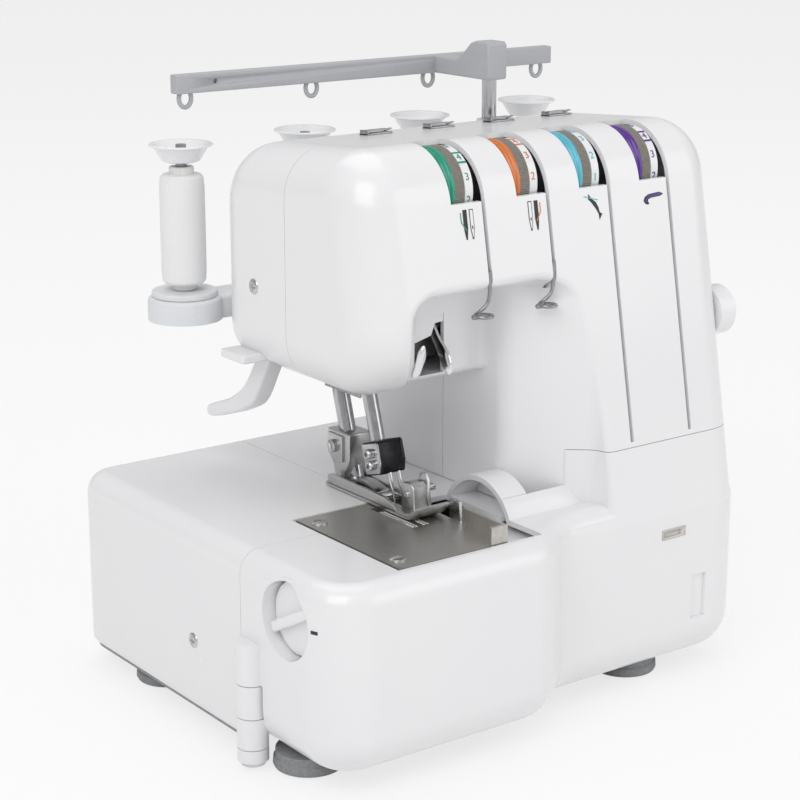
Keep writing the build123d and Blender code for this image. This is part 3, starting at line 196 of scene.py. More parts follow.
def dress(finish, *names):
    """Gives CAD nodes a finish."""
    for name in names:
        nodes[name].data.materials[0] = finish


def only(piece):
    """Makes one piece the active and only selected object."""
    bpy.ops.object.select_all(action="DESELECT")
    bpy.context.view_layer.objects.active = piece
    piece.select_set(True)


def sketched(name, points, edges, faces):
    """A new piece drawn from points, opened in edit mode with all of it selected."""
    mesh = bpy.data.meshes.new(name)
    mesh.from_pydata(points, edges, faces)
    piece = bpy.data.objects.new(name, mesh)
    bpy.context.scene.collection.objects.link(piece)
    only(piece)
    bpy.ops.object.mode_set(mode="EDIT")
    bpy.ops.mesh.select_all(action="SELECT")
    return piece


def turned(name, profile, centre, axis, steps=72):
    """A turned piece: a profile of (radius, distance along the axis) in millimetres, spun round the axis."""
    outward = Vector(along_z) if axis[0] else Vector(along_x)
    points = [
        Vector(centre) + outward * (radius * mm) + Vector(axis) * (along * mm) for radius, along in profile
    ]
    piece = sketched(name, points, [(i, i + 1) for i in range(len(points) - 1)], [])
    bpy.ops.mesh.spin(steps=steps, angle=2 * pi, center=centre, axis=axis)
    bpy.ops.mesh.select_all(action="SELECT")
    bpy.ops.mesh.remove_doubles(threshold=merge_reach)
    bpy.ops.mesh.normals_make_consistent(inside=False)
    bpy.ops.object.mode_set(mode="OBJECT")
    bpy.ops.object.shade_smooth_by_angle(angle=radians(30))
    return piece


def settle(piece, body, slot, finish, *stands_for):
    """Gives a finished piece its material and body, and hides the CAD nodes that it stands for."""
    piece.data.materials.clear()
    piece.data.materials.append(finish)
    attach(piece, body)
    if stands_for:
        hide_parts(*stands_for)


def joined(name, pieces):
    """Several meshes made one."""
    only(pieces[0])
    for piece in pieces:
        piece.select_set(True)
    bpy.ops.object.join()
    pieces[0].name = name
    return pieces[0]


foot_rubber = grained_plastic("foot_rubber", (0.30, 0.31, 0.32), (0.24, 0.25, 0.255), 0.62, 700.0)
dress(grained_plastic("pan_grey", (0.34, 0.35, 0.37), (0.28, 0.29, 0.31), 0.5, 300.0), "base_pan")
feet_low, feet_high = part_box("rubber_feet")
foot_reach = 16.0 * mm
foot_profile = [
    (0, 0), (13.5, 0), (15.4, 0.6), (16.0, 1.8), (15.8, 4.6), (15.0, 5.4), (14.8, 8.5), (0, 8.5),
]
feet = [
    turned("foot", foot_profile, (x, y, 0), along_z)
    for x in (feet_low.x + foot_reach, feet_high.x - foot_reach)
    for y in (feet_low.y + foot_reach, feet_high.y - foot_reach)
]
settle(joined("turned_feet", feet), "machine", "rubber_grey", foot_rubber, "rubber_feet")


# Frame and drive, inside the covers: a sand-cast alloy frame and bed arm, a ground steel shaft in bronze
# bushes, two turned pulleys, a flat rubber belt, and a dark enamelled motor. The loopers, the knives,
# the feed dog and the pin of the front cover's hinge are ground steel too.
def metal(name, light, dark, gloss, spread, grain, stretch=(1.0, 1.0, 1.0)):
    """Bare metal: two shades and an uneven gloss in a grain that may be stretched along one direction."""
    material, shader, place = new_finish(name, Metallic=1.0)
    drawn = place.add("ShaderNodeMapping", {}, {"Vector": place, "Scale": stretch})
    lines = cloudy(drawn, grain, 6.0)
    two_shades(shader, lines, dark, light, 0.3, 0.7)
    (lines * spread + gloss).into(shader, "Roughness")
    relief(shader, lines, 0.05, 0.0002)
    return material


cast_alloy = metal("cast_alloy", (0.58, 0.58, 0.57), (0.44, 0.44, 0.44), 0.42, 0.25, 420.0)
ground_steel = metal(
    "ground_steel", (0.66, 0.66, 0.66), (0.52, 0.52, 0.53), 0.20, 0.16, 260.0, (1.0, 1.0, 9.0)
)
bronze = metal("sintered_bronze", (0.62, 0.42, 0.22), (0.50, 0.32, 0.16), 0.34, 0.2, 900.0)
dark_plastic = grained_plastic("dark_moulding", (0.035, 0.035, 0.037), (0.022, 0.022, 0.024), 0.38, 500.0)
belt_rubber = grained_plastic("belt_rubber", (0.030, 0.029, 0.028), (0.018, 0.018, 0.018), 0.6, 900.0)
dress(cast_alloy, "arm_frame", "looper_frame", "bed_arm")
dress(ground_steel, "main_shaft", "drive_pulley", "motor_pulley", "upper_looper", "lower_looper")
dress(ground_steel, "lower_knife", "upper_knife", "feed_dog", "hinge_pin")
dress(bronze, "shaft_bushes")
dress(belt_rubber, "drive_belt")
dress(dark_plastic, "motor")


# White shells: the covers of the body, moulded in glossy white plastic with a trace of grey.
# Each keeps its moulded shape, and its sharp edges get the small rounding that a mould leaves.
def moulded_white():
    """Glossy moulded plastic: faint colour drift, uneven gloss and a fine orange peel."""
    material, shader, place = new_finish("shell_white", IOR=1.49, Coat_Weight=0.35, Coat_Roughness=0.12)
    two_shades(shader, cloudy(place, 9.0, 3.0), (0.865, 0.865, 0.88), (0.885, 0.885, 0.895), 0.3, 0.7)
    smear = cloudy(place, 42.0, 4.0)
    (smear * 0.03 + 0.25).into(shader, "Roughness")
    relief(shader, cloudy(place, 260.0, 2.0), 0.012, 0.0002)
    return material


shell_white = moulded_white()


def round_edges(piece, width, segments, sharpness):
    """Rounds those edges of the active piece that are sharper than an angle in degrees."""
    edges = piece.modifiers.new("rounding", "BEVEL")
    edges.width = width
    edges.segments = segments
    edges.limit_method = "ANGLE"
    edges.angle_limit = radians(sharpness)
    bpy.ops.object.modifier_apply(modifier="rounding")
    bpy.ops.object.shade_smooth_by_angle(angle=radians(35))


def softened(node, body, slot, finish, width=0.22 * mm):
    """A copy of a CAD node with its sharp edges rounded, which stands for the node."""
    piece = nodes[node].copy()
    piece.data = nodes[node].data.copy()
    piece.name = node + "_rounded"
    for mark in list(piece.keys()):
        del piece[mark]
    piece.parent = None
    bpy.context.scene.collection.objects.link(piece)
    only(piece)
    bpy.ops.object.mode_set(mode="EDIT")
    bpy.ops.mesh.select_all(action="SELECT")
    bpy.ops.mesh.remove_doubles(threshold=merge_reach)
    bpy.ops.mesh.dissolve_limited(angle_limit=radians(0.2))
    bpy.ops.object.mode_set(mode="OBJECT")
    round_edges(piece, width, 2, 40)
    levelling = piece.modifiers.new("levelling", "WEIGHTED_NORMAL")
    levelling.keep_sharp = True
    bpy.ops.object.modifier_apply(modifier="levelling")
    settle(piece, body, slot, finish, node)


fixed_covers = (
    "left_bed_cover", "lower_cover", "upper_front_cover", "face_plate", "rear_cover", "right_cover",
)
for cover in fixed_covers:
    softened(cover, "machine", "white_gloss", shell_white)
softened("front_cover", "door", "white_gloss", shell_white)


# Cutting width knob: a white moulded disc on a stem, with a raised grip bar across its face.
# It is sunk in a round walled well of the front cover, with a dark index mark beside it.
def millimetres(*values):
    """A place or a size given in millimetres."""
    return tuple(value * mm for value in values)


def rounded_block(name, middle, size, rounding, segments=3, turn=(0, 0, 0)):
    """A block with round edges, turned about its middle."""
    bpy.ops.object.select_all(action="DESELECT")
    bpy.ops.mesh.primitive_cube_add(size=1, location=middle, rotation=turn, scale=size)
    piece = bpy.context.object
    piece.name = name
    bpy.ops.object.transform_apply(location=True, rotation=True, scale=True)
    round_edges(piece, rounding, segments, 30)
    return piece


knob_low, knob_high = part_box("width_knob")
knob_middle = (knob_low + knob_high) / 2
knob_face = (knob_low.x + 4.3 * mm, knob_middle.y, knob_middle.z)
knob_profile = [
    (0, 0.5), (9, 0.5), (13.4, 0.1), (15.2, 0.0), (16.0, 0.4), (16.4, 1.2), (16.4, 3.0),
    (4, 5), (4, 47.2), (0, 47.2),
]
knob = turned("knob_disc", knob_profile, knob_face, along_x, 96)
grip_size = millimetres(5.4, 29.4, 5.0)
grip_middle = (knob_low.x + grip_size[0] / 2, knob_middle.y, knob_middle.z)
grip_turn = (radians(-28), 0, 0)
knob_bar = rounded_block("knob_bar", grip_middle, grip_size, 1.2 * mm, 4, grip_turn)
settle(joined("grip_knob", [knob, knob_bar]), "width_knob", "white_gloss", shell_white, "width_knob")
well_profile = [(17.2, 0), (18.6, 0), (18.6, 6.0), (17.2, 6.0), (17.2, 0)]
well_foot = (-130.6 * mm, knob_middle.y, knob_middle.z)
well_wall = turned("well_wall", well_profile, well_foot, along_x, 96)
settle(well_wall, "door", "white_gloss", shell_white)

index_middle = millimetres(-131.45, -94.6, 77.1)
index_size = millimetres(3.4, 0.35, 1.5)
index_turn = (0, 0, radians(-69))
index_mark = rounded_block("knob_index", index_middle, index_size, 0.1 * mm, 2, index_turn)
settle(index_mark, "door", "dark_plastic", dark_plastic)


# Screws of the covers and the plate: turned steel heads with a cross or a slot cut in them.
# Two hold the covers on the left side and two hold the throat plate down.
def cut(piece, tools):
    """Cuts tools out of a piece and removes them."""
    for tool in tools:
        only(piece)
        notch = piece.modifiers.new("notch", "BOOLEAN")
        notch.operation = "DIFFERENCE"
        notch.solver = "EXACT"
        notch.object = tool
        bpy.ops.object.modifier_apply(modifier="notch")
        bpy.data.objects.remove(tool)
    return piece


cross_profile = [(0, -0.95), (1.6, -0.92), (2.7, -0.75), (3.35, -0.4), (3.6, 0), (1.5, 0), (1.5, 8), (0, 8)]
flat_profile = [(0, -6.5), (1.5, -6.5), (1.5, 0), (3.6, 0), (3.6, 0.5), (3.2, 0.9), (0, 0.9)]
screw_heads = []
for screw_place in ((-133, 1, 43), (-86, 19, 197)):
    centre = millimetres(*screw_place)
    cross_head = turned("cross_head", cross_profile, centre, along_x, 48)
    arms = [
        rounded_block("arm", (centre[0] - 0.9 * mm, centre[1], centre[2]), arm_size, 0.15 * mm, 1)
        for arm_size in (millimetres(1.2, 4.2, 0.9), millimetres(1.2, 0.9, 4.2))
    ]
    screw_heads.append(cut(cross_head, arms))
for screw_place in ((-84, -88, 97), (-84, -29, 97)):
    centre = millimetres(*screw_place)
    slot_head = turned("slot_head", flat_profile, centre, along_z, 48)
    slot_middle = (centre[0], centre[1], centre[2] + 0.9 * mm)
    arm = rounded_block("arm", slot_middle, millimetres(8, 0.9, 1.0), 0.1 * mm, 1)
    screw_heads.append(cut(slot_head, [arm]))
settle(joined("machine_screws", screw_heads), "machine", "steel", ground_steel, "cover_screws")


# Right side: a moulded hand wheel with a fluted rim on the main shaft, two ribbed setting dials,
# a rocker switch with its on and off marks, and the dark socket of the supply lead.
def ribbed(name, centre, radius, depth, left, right, count):
    """A round grip along X with fine ribs cut across its rim."""
    bpy.ops.object.select_all(action="DESELECT")
    bpy.ops.mesh.primitive_cylinder_add(
        vertices=2 * count, radius=radius, depth=right - left,
        location=((left + right) / 2, centre[1], centre[2]), rotation=(0, pi / 2, 0),
    )
    piece = bpy.context.object
    piece.name = name
    bpy.ops.object.transform_apply(location=True, rotation=True, scale=True)
    bpy.ops.object.mode_set(mode="EDIT")
    bpy.ops.mesh.select_mode(type="VERT")
    bpy.ops.mesh.select_all(action="DESELECT")
    bpy.ops.object.mode_set(mode="OBJECT")
    for vertex in piece.data.vertices:
        angle = atan2(vertex.co.z - centre[2], vertex.co.y - centre[1])
        vertex.select = round(angle / (pi / count)) % 2 == 1
    bpy.ops.object.mode_set(mode="EDIT")
    inner = 1 - depth / radius
    bpy.ops.transform.resize(value=(1, inner, inner), center_override=(centre[0], centre[1], centre[2]))
    bpy.ops.object.mode_set(mode="OBJECT")
    return piece


def lettering(name, text, size, place, across, up):
    """Raised characters centred on a place, with their lines running across and their tops towards up."""
    bpy.ops.object.select_all(action="DESELECT")
    bpy.ops.object.text_add()
    piece = bpy.context.object
    piece.name = name
    piece.data.body = text
    piece.data.size = size
    piece.data.align_x = "CENTER"
    piece.data.align_y = "CENTER"
    piece.data.extrude = 0.18 * mm
    piece.data.resolution_u = 3
    bpy.ops.object.convert(target="MESH")
    piece = bpy.context.object
    out = Vector(across).cross(Vector(up))
    piece.matrix_world = Matrix((
        (across[0], up[0], out.x, place[0]),
        (across[1], up[1], out.y, place[1]),
        (across[2], up[2], out.z, place[2]),
        (0, 0, 0, 1),
    ))
    bpy.ops.object.transform_apply(location=True, rotation=True, scale=True)
    return piece


def rod_profile(radius, start, end):
    """The profile of a plain rod, in millimetres."""
    return [(0, start), (radius, start), (radius, end), (0, end)]


wheel_low, wheel_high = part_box("hand_wheel")
wheel_middle = (wheel_low + wheel_high) / 2
rim_left, rim_right = wheel_low.x + 2 * mm, wheel_high.x - 4 * mm
wheel_rim = ribbed("wheel_rim", wheel_middle, 33 * mm, 0.9 * mm, rim_left, rim_right, 60)
wheel_profile = [
    (0, 0), (31.4, 0), (32.4, 0.8), (32.4, 12.4), (31.2, 14.2), (28.6, 15.4), (23.5, 15.2), (21, 13.6),
    (19, 11.6), (9, 11.0), (7.5, 12.6), (0, 13.0),
]
wheel_foot = (wheel_low.x, wheel_middle.y, wheel_middle.z)
wheel_disc = turned("wheel_disc", wheel_profile, wheel_foot, along_x, 96)
wheel = joined("fluted_wheel", [wheel_rim, wheel_disc])
settle(wheel, "drive_shaft", "white_gloss", shell_white, "hand_wheel")

light_grey = grained_plastic("light_grey_moulding", (0.56, 0.57, 0.58), (0.50, 0.51, 0.52), 0.34, 260.0)
cover_face = 124.4 * mm
for node, body in (("stitch_length_dial", "stitch_dial"), ("differential_dial", "feed_dial")):
    low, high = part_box(node)
    middle = (low + high) / 2
    reach = (high.z - low.z) / 2
    grip_left = max(low.x, cover_face)
    grip = ribbed(node + "_grip", middle, reach, 0.5 * mm, grip_left, high.x - 2.4 * mm, 48)
    rim = reach / mm
    top = (high.x - grip_left) / mm
    setting_profile = [
        (0, 0.2), (rim - 0.7, 0.2), (rim - 0.7, top - 2.0), (rim - 1.6, top - 0.6), (rim - 3.0, top),
        (rim - 5.0, top - 0.4), (0, top - 0.8),
    ]
    cap = turned(node + "_cap", setting_profile, (grip_left, middle.y, middle.z), along_x, 64)
    stem_profile = rod_profile(3, 0, (grip_left - low.x) / mm)
    stem = turned(node + "_stem", stem_profile, (low.x, middle.y, middle.z), along_x, 32)
    settle(joined(node + "_ribbed", [grip, cap, stem]), body, "grey_plastic", light_grey, node)

softened("power_switch", "switch", "dark_plastic", dark_plastic, 0.6 * mm)
softened("power_inlet", "machine", "dark_plastic", dark_plastic, 0.5 * mm)
switch_low, switch_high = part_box("power_switch")
switch_middle = (switch_low + switch_high) / 2
mark_white = grained_plastic("mark_white", (0.82, 0.82, 0.80), (0.76, 0.76, 0.75), 0.5, 800.0)
along_y = (0, 1, 0)
for mark, lift in (("I", 4.6), ("O", -4.6)):
    place = (switch_high.x - 0.05 * mm, switch_middle.y, switch_middle.z + lift * mm)
    switch_mark = lettering("switch_" + mark, mark, 4.2 * mm, place, along_y, along_z)
    settle(switch_mark, "switch", "white_gloss", mark_white)


# Tension dials: each is moulded in three rings on one spindle, a coloured stepped rim, a warm grey grip
# with fine ribs, and a white band with raised numbers in the rim's colour. Two bars mark the usual setting.
def tinted_plastic(name, colour):
    """Glossy coloured plastic with a faint uneven tint."""
    material, shader, place = new_finish(name, IOR=1.49, Coat_Weight=0.3, Coat_Roughness=0.15)
    tint = cloudy(place, 160.0, 3.0)
    two_shades(shader, tint, [value * 0.9 for value in colour], colour, 0.3, 0.7)
    (tint * 0.1 + 0.24).into(shader, "Roughness")
    return material


def on_band(band_middle, turn, reach):
    """A point at a turn round a dial's band, a reach in millimetres from its axis."""
    return band_middle + Vector((0, -cos(turn), sin(turn))) * (reach * mm)


warm_grey = grained_plastic("warm_grey_grip", (0.27, 0.25, 0.22), (0.22, 0.20, 0.18), 0.5, 600.0)
dial_colours = {
    "green": (0.004, 0.33, 0.21),
    "orange": (0.72, 0.20, 0.035),
    "blue": (0.10, 0.52, 0.66),
    "purple": (0.10, 0.016, 0.30),
}
first_turns = (22, 43, 62, 22)
number_step = 31.0
usual_number = 4
rim_profile = [
    (3.2, 0), (16.8, 0), (17.6, 0.2), (18.2, 0.8), (18.2, 1.5), (18.5, 1.7), (18.95, 2.2), (18.95, 3.5),
    (3.2, 3.5),
]
band_profile = [(3.2, 8.8), (18.4, 8.8), (18.4, 13.6), (18.0, 14.0), (3.2, 14.0)]
for order, (colour_name, first_turn) in enumerate(zip(dial_colours, first_turns), 1):
    node = "tension_dial_" + str(order)
    body = "dial_" + str(order)
    low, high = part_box(node)
    hub = (low + high) / 2
    dial_foot = (low.x, hub.y, hub.z)
    rim_finish = tinted_plastic(colour_name + "_rim", dial_colours[colour_name])
    rim = turned(node + "_rim", rim_profile, dial_foot, along_x, 96)
    settle(rim, body, colour_name + "_dial", rim_finish, node)
    grip = ribbed(node + "_grip", hub, 19 * mm, 0.35 * mm, low.x + 3.4 * mm, low.x + 8.9 * mm, 110)
    settle(grip, body, "grey_plastic", warm_grey)
    band = turned(node + "_band", band_profile, dial_foot, along_x, 96)
    settle(band, body, "white_gloss", shell_white)
    band_middle = Vector((low.x + 11.3 * mm, hub.y, hub.z))
    signs = []
    for number in range(10):
        turn = radians(first_turn + (number - 3) * number_step)
        place = on_band(band_middle, turn, 18.36)
        signs.append(lettering("sign", str(number), 4.9 * mm, place, along_x, (0, sin(turn), cos(turn))))
        if number == usual_number:
            for bar_turn in (turn - radians(9.0), turn + radians(9.0)):
                place = on_band(band_middle, bar_turn, 18.4)
                bar_size = millimetres(4.2, 0.5, 0.9)
                signs.append(rounded_block("sign", place, bar_size, 0.05 * mm, 1, (-bar_turn, 0, 0)))
    settle(joined(node + "_numbers", signs), body, colour_name + "_dial", rim_finish)


# Signs under the dials: a small printed picture of the thread's path beside each slot, needle left,
# needle right, upper looper and lower looper, in dark ink with a line in the dial's colour.
front_lean = radians(10.3)
front_up = Vector((0, sin(front_lean), cos(front_lean)))
front_out = Vector((0, -cos(front_lean), sin(front_lean)))
front_foot_y, front_foot_z = millimetres(-87, 118)
flat_thick = 0.12 * mm


def front_y(z):
    """Y of the leaning front at a height, in metres."""
    return front_foot_y + (z - front_foot_z) * tan(front_lean)


def extruded(name, outline, thickness):
    """A flat outline of points, made thick along a vector."""
    piece = sketched(name, outline, [], [list(range(len(outline)))])
    bpy.ops.mesh.extrude_region_move(TRANSFORM_OT_translate={"value": thickness})
    bpy.ops.mesh.select_all(action="SELECT")
    bpy.ops.mesh.normals_make_consistent(inside=False)
    bpy.ops.object.mode_set(mode="OBJECT")
    return piece


def flat_on_front(name, outline, place, slot, finish):
    """A thin flat shape along the leaning front, from (across, up) points in millimetres about a place."""
    points = [
        Vector(place) + Vector(along_x) * (across * mm) + front_up * (up * mm) for across, up in outline
    ]
    settle(extruded(name, points, front_out * flat_thick), "machine", slot, finish)


needle_shape = [(-1.1, 6.5), (1.1, 6.5), (1.1, -1.5), (0.35, -6.5), (-0.35, -6.5), (-1.1, -1.5)]
needle_core = [(-0.75, 6.1), (0.75, 6.1), (0.75, -1.4), (0.15, -5.6), (-0.15, -5.6), (-0.75, -1.4)]
needle_eye = [(0.0, -0.4), (0.4, -1.3), (0.0, -2.4), (-0.4, -1.3)]
needle_line = [(-2.5, 5.4), (-2.05, 5.4), (-2.05, 1.4), (0.4, -2.4), (0.1, -2.8), (-2.5, 1.2)]
blade_shape = [
    (-2.7, 6.1), (-0.8, 3.7), (1.2, 2.3), (2.6, -0.1), (3.2, -2.7), (4.6, -3.3), (2.7, -6.0), (2.5, -3.3),
    (0.8, -0.5), (-1.5, 2.4), (-3.0, 3.7),
]
blade_line = [(-5.5, 5.4), (2.6, 3.2), (2.6, 2.8), (-5.5, 5.0)]
hook_shape = [
    (6.4, 1.9), (3.9, 2.9), (-2.8, 2.4), (-5.1, 1.3), (-6.0, -0.3), (-5.1, -1.8), (-3.4, -2.3), (-2.6, -1.7),
    (-3.4, -0.8), (-3.1, 0.1), (-1.2, 0.7), (4.5, 1.0),
]
hook_line = [
    (4.9, 2.0), (3.8, 2.5), (-2.5, 1.8), (-4.4, 0.8), (-5.0, -0.5), (-4.5, -1.3), (-4.2, -0.1), (-3.5, 0.7),
    (-1.5, 1.3), (4.2, 1.5),
]
slot_xs = millimetres(-21, 15.2, 51.4, 87.6)
sign_z = 232 * mm
ink_lift = Vector(millimetres(0, -0.06, 0.01))
# The dark ink of the signs also colours the painted shade sheets behind the slots.
ink_and_slot_shade = ("dark_plastic", dark_plastic)
line_inks = [(name + "_dial", bpy.data.materials[name + "_rim"]) for name in dial_colours]
for order, side in ((0, -1), (1, 1)):
    sign = "needle_sign_" + str(order + 1)
    middle = Vector((slot_xs[order] - 9 * mm, front_y(sign_z), sign_z))
    apart = Vector((side * 1.75 * mm, 0, 0))
    line = [(-side * across, up) for across, up in needle_line]
    flat_on_front(sign, needle_shape, middle + apart, *ink_and_slot_shade)
    flat_on_front(sign + "_open", needle_shape, middle - apart, *ink_and_slot_shade)
    flat_on_front(sign + "_core", needle_core, middle - apart + ink_lift, "white_gloss", shell_white)
    flat_on_front(sign + "_eye", needle_eye, middle - apart + 2 * ink_lift, *ink_and_slot_shade)
    flat_on_front(sign + "_thread", line, middle + apart + ink_lift, *line_inks[order])
for order, shape, line in ((2, blade_shape, blade_line), (3, hook_shape, hook_line)):
    sign = "looper_sign_" + str(order + 1)
    middle = Vector((slot_xs[order] - 10 * mm, front_y(sign_z), sign_z))
    flat_on_front(sign, shape, middle, *ink_and_slot_shade)
    flat_on_front(sign + "_thread", line, middle + ink_lift, *line_inks[order])


# Slot shade: dark strips behind the front that close the four thread slots from inside.
# They are painted shade, dark sheets that stand for the shadow inside the slots.
slot_shade_top = 237
slot_shade_depth = front_out * -2.75 * mm
# Each strip is a sheet of painted shade, set a little behind the front in its slot.
for order, (slot_x, foot_z) in enumerate(zip(slot_xs, (207, 207, 125, 125)), 1):
    slot_shade_tall = (slot_shade_top - foot_z) / cos(front_lean)
    slot_shade_shape = [(-1.5, 0), (1.5, 0), (1.5, slot_shade_tall), (-1.5, slot_shade_tall)]
    slot_shade_foot = Vector((slot_x, front_y(foot_z * mm), foot_z * mm)) + slot_shade_depth
    flat_on_front("painted_slot_shade_" + str(order), slot_shade_shape, slot_shade_foot, *ink_and_slot_shade)


# Thread guides: steel wire pigtails that hang from the two short slots, and folded plate clips
# riveted on top behind each dial, which the thread passes through first.
def bent_wire(name, points, radius):
    """A round wire through points, smooth between them."""
    bpy.ops.object.select_all(action="DESELECT")
    curve = bpy.data.curves.new(name, "CURVE")
    curve.dimensions = "3D"
    curve.bevel_depth = radius
    curve.bevel_resolution = 3
    curve.resolution_u = 6
    curve.use_fill_caps = True
    strand = curve.splines.new("NURBS")
    strand.points.add(len(points) - 1)
    for point, place in zip(strand.points, points):
        point.co = (*place, 1)
    strand.order_u = 3
    strand.use_endpoint_u = True
    piece = bpy.data.objects.new(name, curve)
    bpy.context.scene.collection.objects.link(piece)
    only(piece)
    bpy.ops.object.convert(target="MESH")
    bpy.ops.object.shade_smooth()
    return bpy.context.object


guide_steel = metal("guide_steel", (0.42, 0.42, 0.43), (0.30, 0.30, 0.31), 0.24, 0.18, 380.0)
guide_low, guide_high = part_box("thread_guides")
guide_y = (guide_low.y + guide_high.y) / 2
eye_z = guide_low.z + 1.0 * mm
pigtails = []
for slot_x in slot_xs[:2]:
    eye_x = slot_x - 3.4 * mm
    points = [
        (slot_x, guide_y, guide_high.z),
        (slot_x, guide_y, guide_high.z - 5 * mm),
        (slot_x, guide_y, eye_z + 9 * mm),
        (slot_x - 1.0 * mm, guide_y + 0.4 * mm, eye_z + 5 * mm),
        (slot_x - 4.6 * mm, guide_y + 1.6 * mm, eye_z + 2 * mm),
    ]
    for step in range(15):
        turn = radians(110 + 30 * step)
        reach = (3.6 + 0.08 * step) * mm
        drop = (0.8 - 0.07 * step) * mm
        points.append((eye_x + cos(turn) * reach, guide_y + sin(turn) * reach, eye_z + drop))
    last = points[-1]
    points.append((last[0] + 3.4 * mm, last[1] - 1.4 * mm, last[2] + 0.6 * mm))
    pigtails.append(bent_wire("pigtail", points, 0.85 * mm))
settle(joined("wire_pigtails", pigtails), "machine", "chrome", guide_steel, "thread_guides")

clip_fall = radians(-4.3)
clip_leaves = (
    ((0, 0, 0.45), (14.0, 7.0, 0.9), 0),
    ((-6.5, 0, 1.25), (1.0, 6.0, 2.3), 0),
    ((-0.6, -0.6, 2.0), (12.4, 4.4, 0.7), 0),
    ((5.8, -1.2, 1.85), (3.6, 2.2, 0.6), 12),
)
clips = []
for slot_x in slot_xs:
    clip_foot = Vector((slot_x + 1.0 * mm, 16.0 * mm, 260.58 * mm))
    for middle, size, tilt in clip_leaves:
        place = clip_foot + Matrix.Rotation(clip_fall, 3, "X") @ (Vector(middle) * mm)
        leaf_turn = (clip_fall, radians(-tilt), 0)
        clips.append(rounded_block("leaf", place, millimetres(*size), 0.18 * mm, 2, leaf_turn))
settle(joined("folded_clips", clips), "machine", "steel", guide_steel, "thread_clips")


# Take-up lever and head guides: the fixed fin on the left and the leaf-shaped lever on the right, which
# swings in the opening under a white brow, are polished pressed plates. The bracket under the head is
# plain grey steel with bent lips.
def smooth_outline(points):
    """A closed outline that passes through points as one smooth curve."""
    steps = 5
    outline = []
    for index, start in enumerate(points):
        before = points[index - 1]
        end = points[(index + 1) % len(points)]
        after = points[(index + 2) % len(points)]
        for step in range(steps):
            t = step / steps
            outline.append(tuple(
                0.5 * (
                    2 * b + (c - a) * t + (2 * a - 5 * b + 4 * c - d) * t * t
                    + (3 * b - a - 3 * c + d) * t ** 3
                )
                for a, b, c, d in zip(before, start, end, after)
            ))
    return outline


def cut_plate(name, outline, thickness, rounding, segments=2):
    """A plate with an outline of points, made thick along a vector, with round edges."""
    piece = extruded(name, outline, thickness)
    round_edges(piece, rounding, segments, 50)
    return piece


def side_points(x, points):
    """Points of a side view, (y, z) in millimetres, at one X in metres."""
    return [(x, y * mm, z * mm) for y, z in points]


def face_points(y, points):
    """Points of a front view, (x, z) in millimetres, at one Y in metres."""
    return [(x * mm, y, z * mm) for x, z in points]


bright_chrome = metal("bright_chrome", (0.80, 0.80, 0.81), (0.70, 0.70, 0.72), 0.08, 0.10, 120.0)
lever_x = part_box("takeup_lever")[0].x
lever_shape = smooth_outline([
    (-21.5, 187), (-28, 187), (-35.5, 176), (-43.5, 168.5), (-45, 161), (-43.2, 159.2), (-39, 163),
    (-30, 175.5), (-21.5, 180),
])
lever_plate = cut_plate("leaf", side_points(lever_x, lever_shape), (1.6 * mm, 0, 0), 0.3 * mm)
pin_foot = (lever_x, -24 * mm, 184 * mm)
lever_pin = turned("lever_pin", rod_profile(2.5, 0, 10.5), pin_foot, along_x, 40)
settle(joined("leaf_lever", [lever_plate, lever_pin]), "takeup", "chrome", bright_chrome, "takeup_lever")

fin_shape = smooth_outline([
    (-38.2, 159.2), (-34.6, 159.2), (-32.6, 163), (-30.8, 167.5), (-31.6, 172.6), (-34.6, 171), (-36.4, 165),
])
fin = cut_plate("fin", face_points(-36.0 * mm, fin_shape), (0, -1.2 * mm, 0), 0.25 * mm)
settle(fin, "machine", "chrome", bright_chrome, "head_guides")
lips = [
    rounded_block("lip", millimetres(*middle), millimetres(*size), 0.4 * mm)
    for middle, size in (
        ((-53.5, -8, 152.6), (7, 28, 1.4)),
        ((-56.1, -8, 152.4), (1.4, 28, 7.0)),
        ((-50.9, -8, 152.4), (1.4, 28, 7.0)),
    )
]
settle(joined("bent_bracket", lips), "machine", "steel", guide_steel)
brow_shape = [
    (-36.4, 186.4), (-20.1, 186.4), (-20.1, 182.2), (-24.8, 181.8), (-27.0, 176.4), (-36.4, 174.0),
]
brow_points = face_points(-35.9 * mm, brow_shape)
opening_brow = cut_plate("opening_brow", brow_points, (0, 2.2 * mm, 0), 0.4 * mm)
settle(opening_brow, "machine", "white_gloss", shell_white)


# Needle bar, clamp and needles: a drawn bar that leans back, a blackened clamp block with a steel side and
# two socket screws, and two needles with thick shanks and fine points.
lean_back = radians(16.9)
bar_up = Vector((0, sin(lean_back), cos(lean_back)))
bar_back = Vector((0, cos(lean_back), -sin(lean_back)))
bar_start = Vector(millimetres(-39.5, -12, 123))


def on_bar(x, y, along):
    """A point given in millimetres across, behind and along the needle bar."""
    return bar_start + Vector((x * mm, 0, 0)) + bar_back * (y * mm) + bar_up * (along * mm)


drawn_steel = metal(
    "drawn_steel", (0.56, 0.56, 0.57), (0.42, 0.42, 0.44), 0.12, 0.10, 300.0, (3.0, 3.0, 0.3)
)
black_oxide = metal("black_oxide", (0.055, 0.055, 0.06), (0.03, 0.03, 0.034), 0.36, 0.2, 500.0)
dress(drawn_steel, "needle_bar", "presser_bar")
clamp_shape = [(2.5, 0.8), (-10.6, 0.8), (-11.6, -0.2), (-11.6, -9.5), (-9.6, -14.6), (2.5, -14.6)]
clamp_outline = [on_bar(-7.5, y, along) for y, along in clamp_shape]
clamp_block = cut_plate("clamp_block", clamp_outline, (13.5 * mm, 0, 0), 0.8 * mm, 3)
groove_size = millimetres(0.9, 4.0, 18)
groove = rounded_block("groove", on_bar(4.2, -12.2, -8), groove_size, 0.1 * mm, 1, (-lean_back, 0, 0))
settle(cut(clamp_block, [groove]), "needle_drive", "dark_plastic", black_oxide, "needle_clamp")

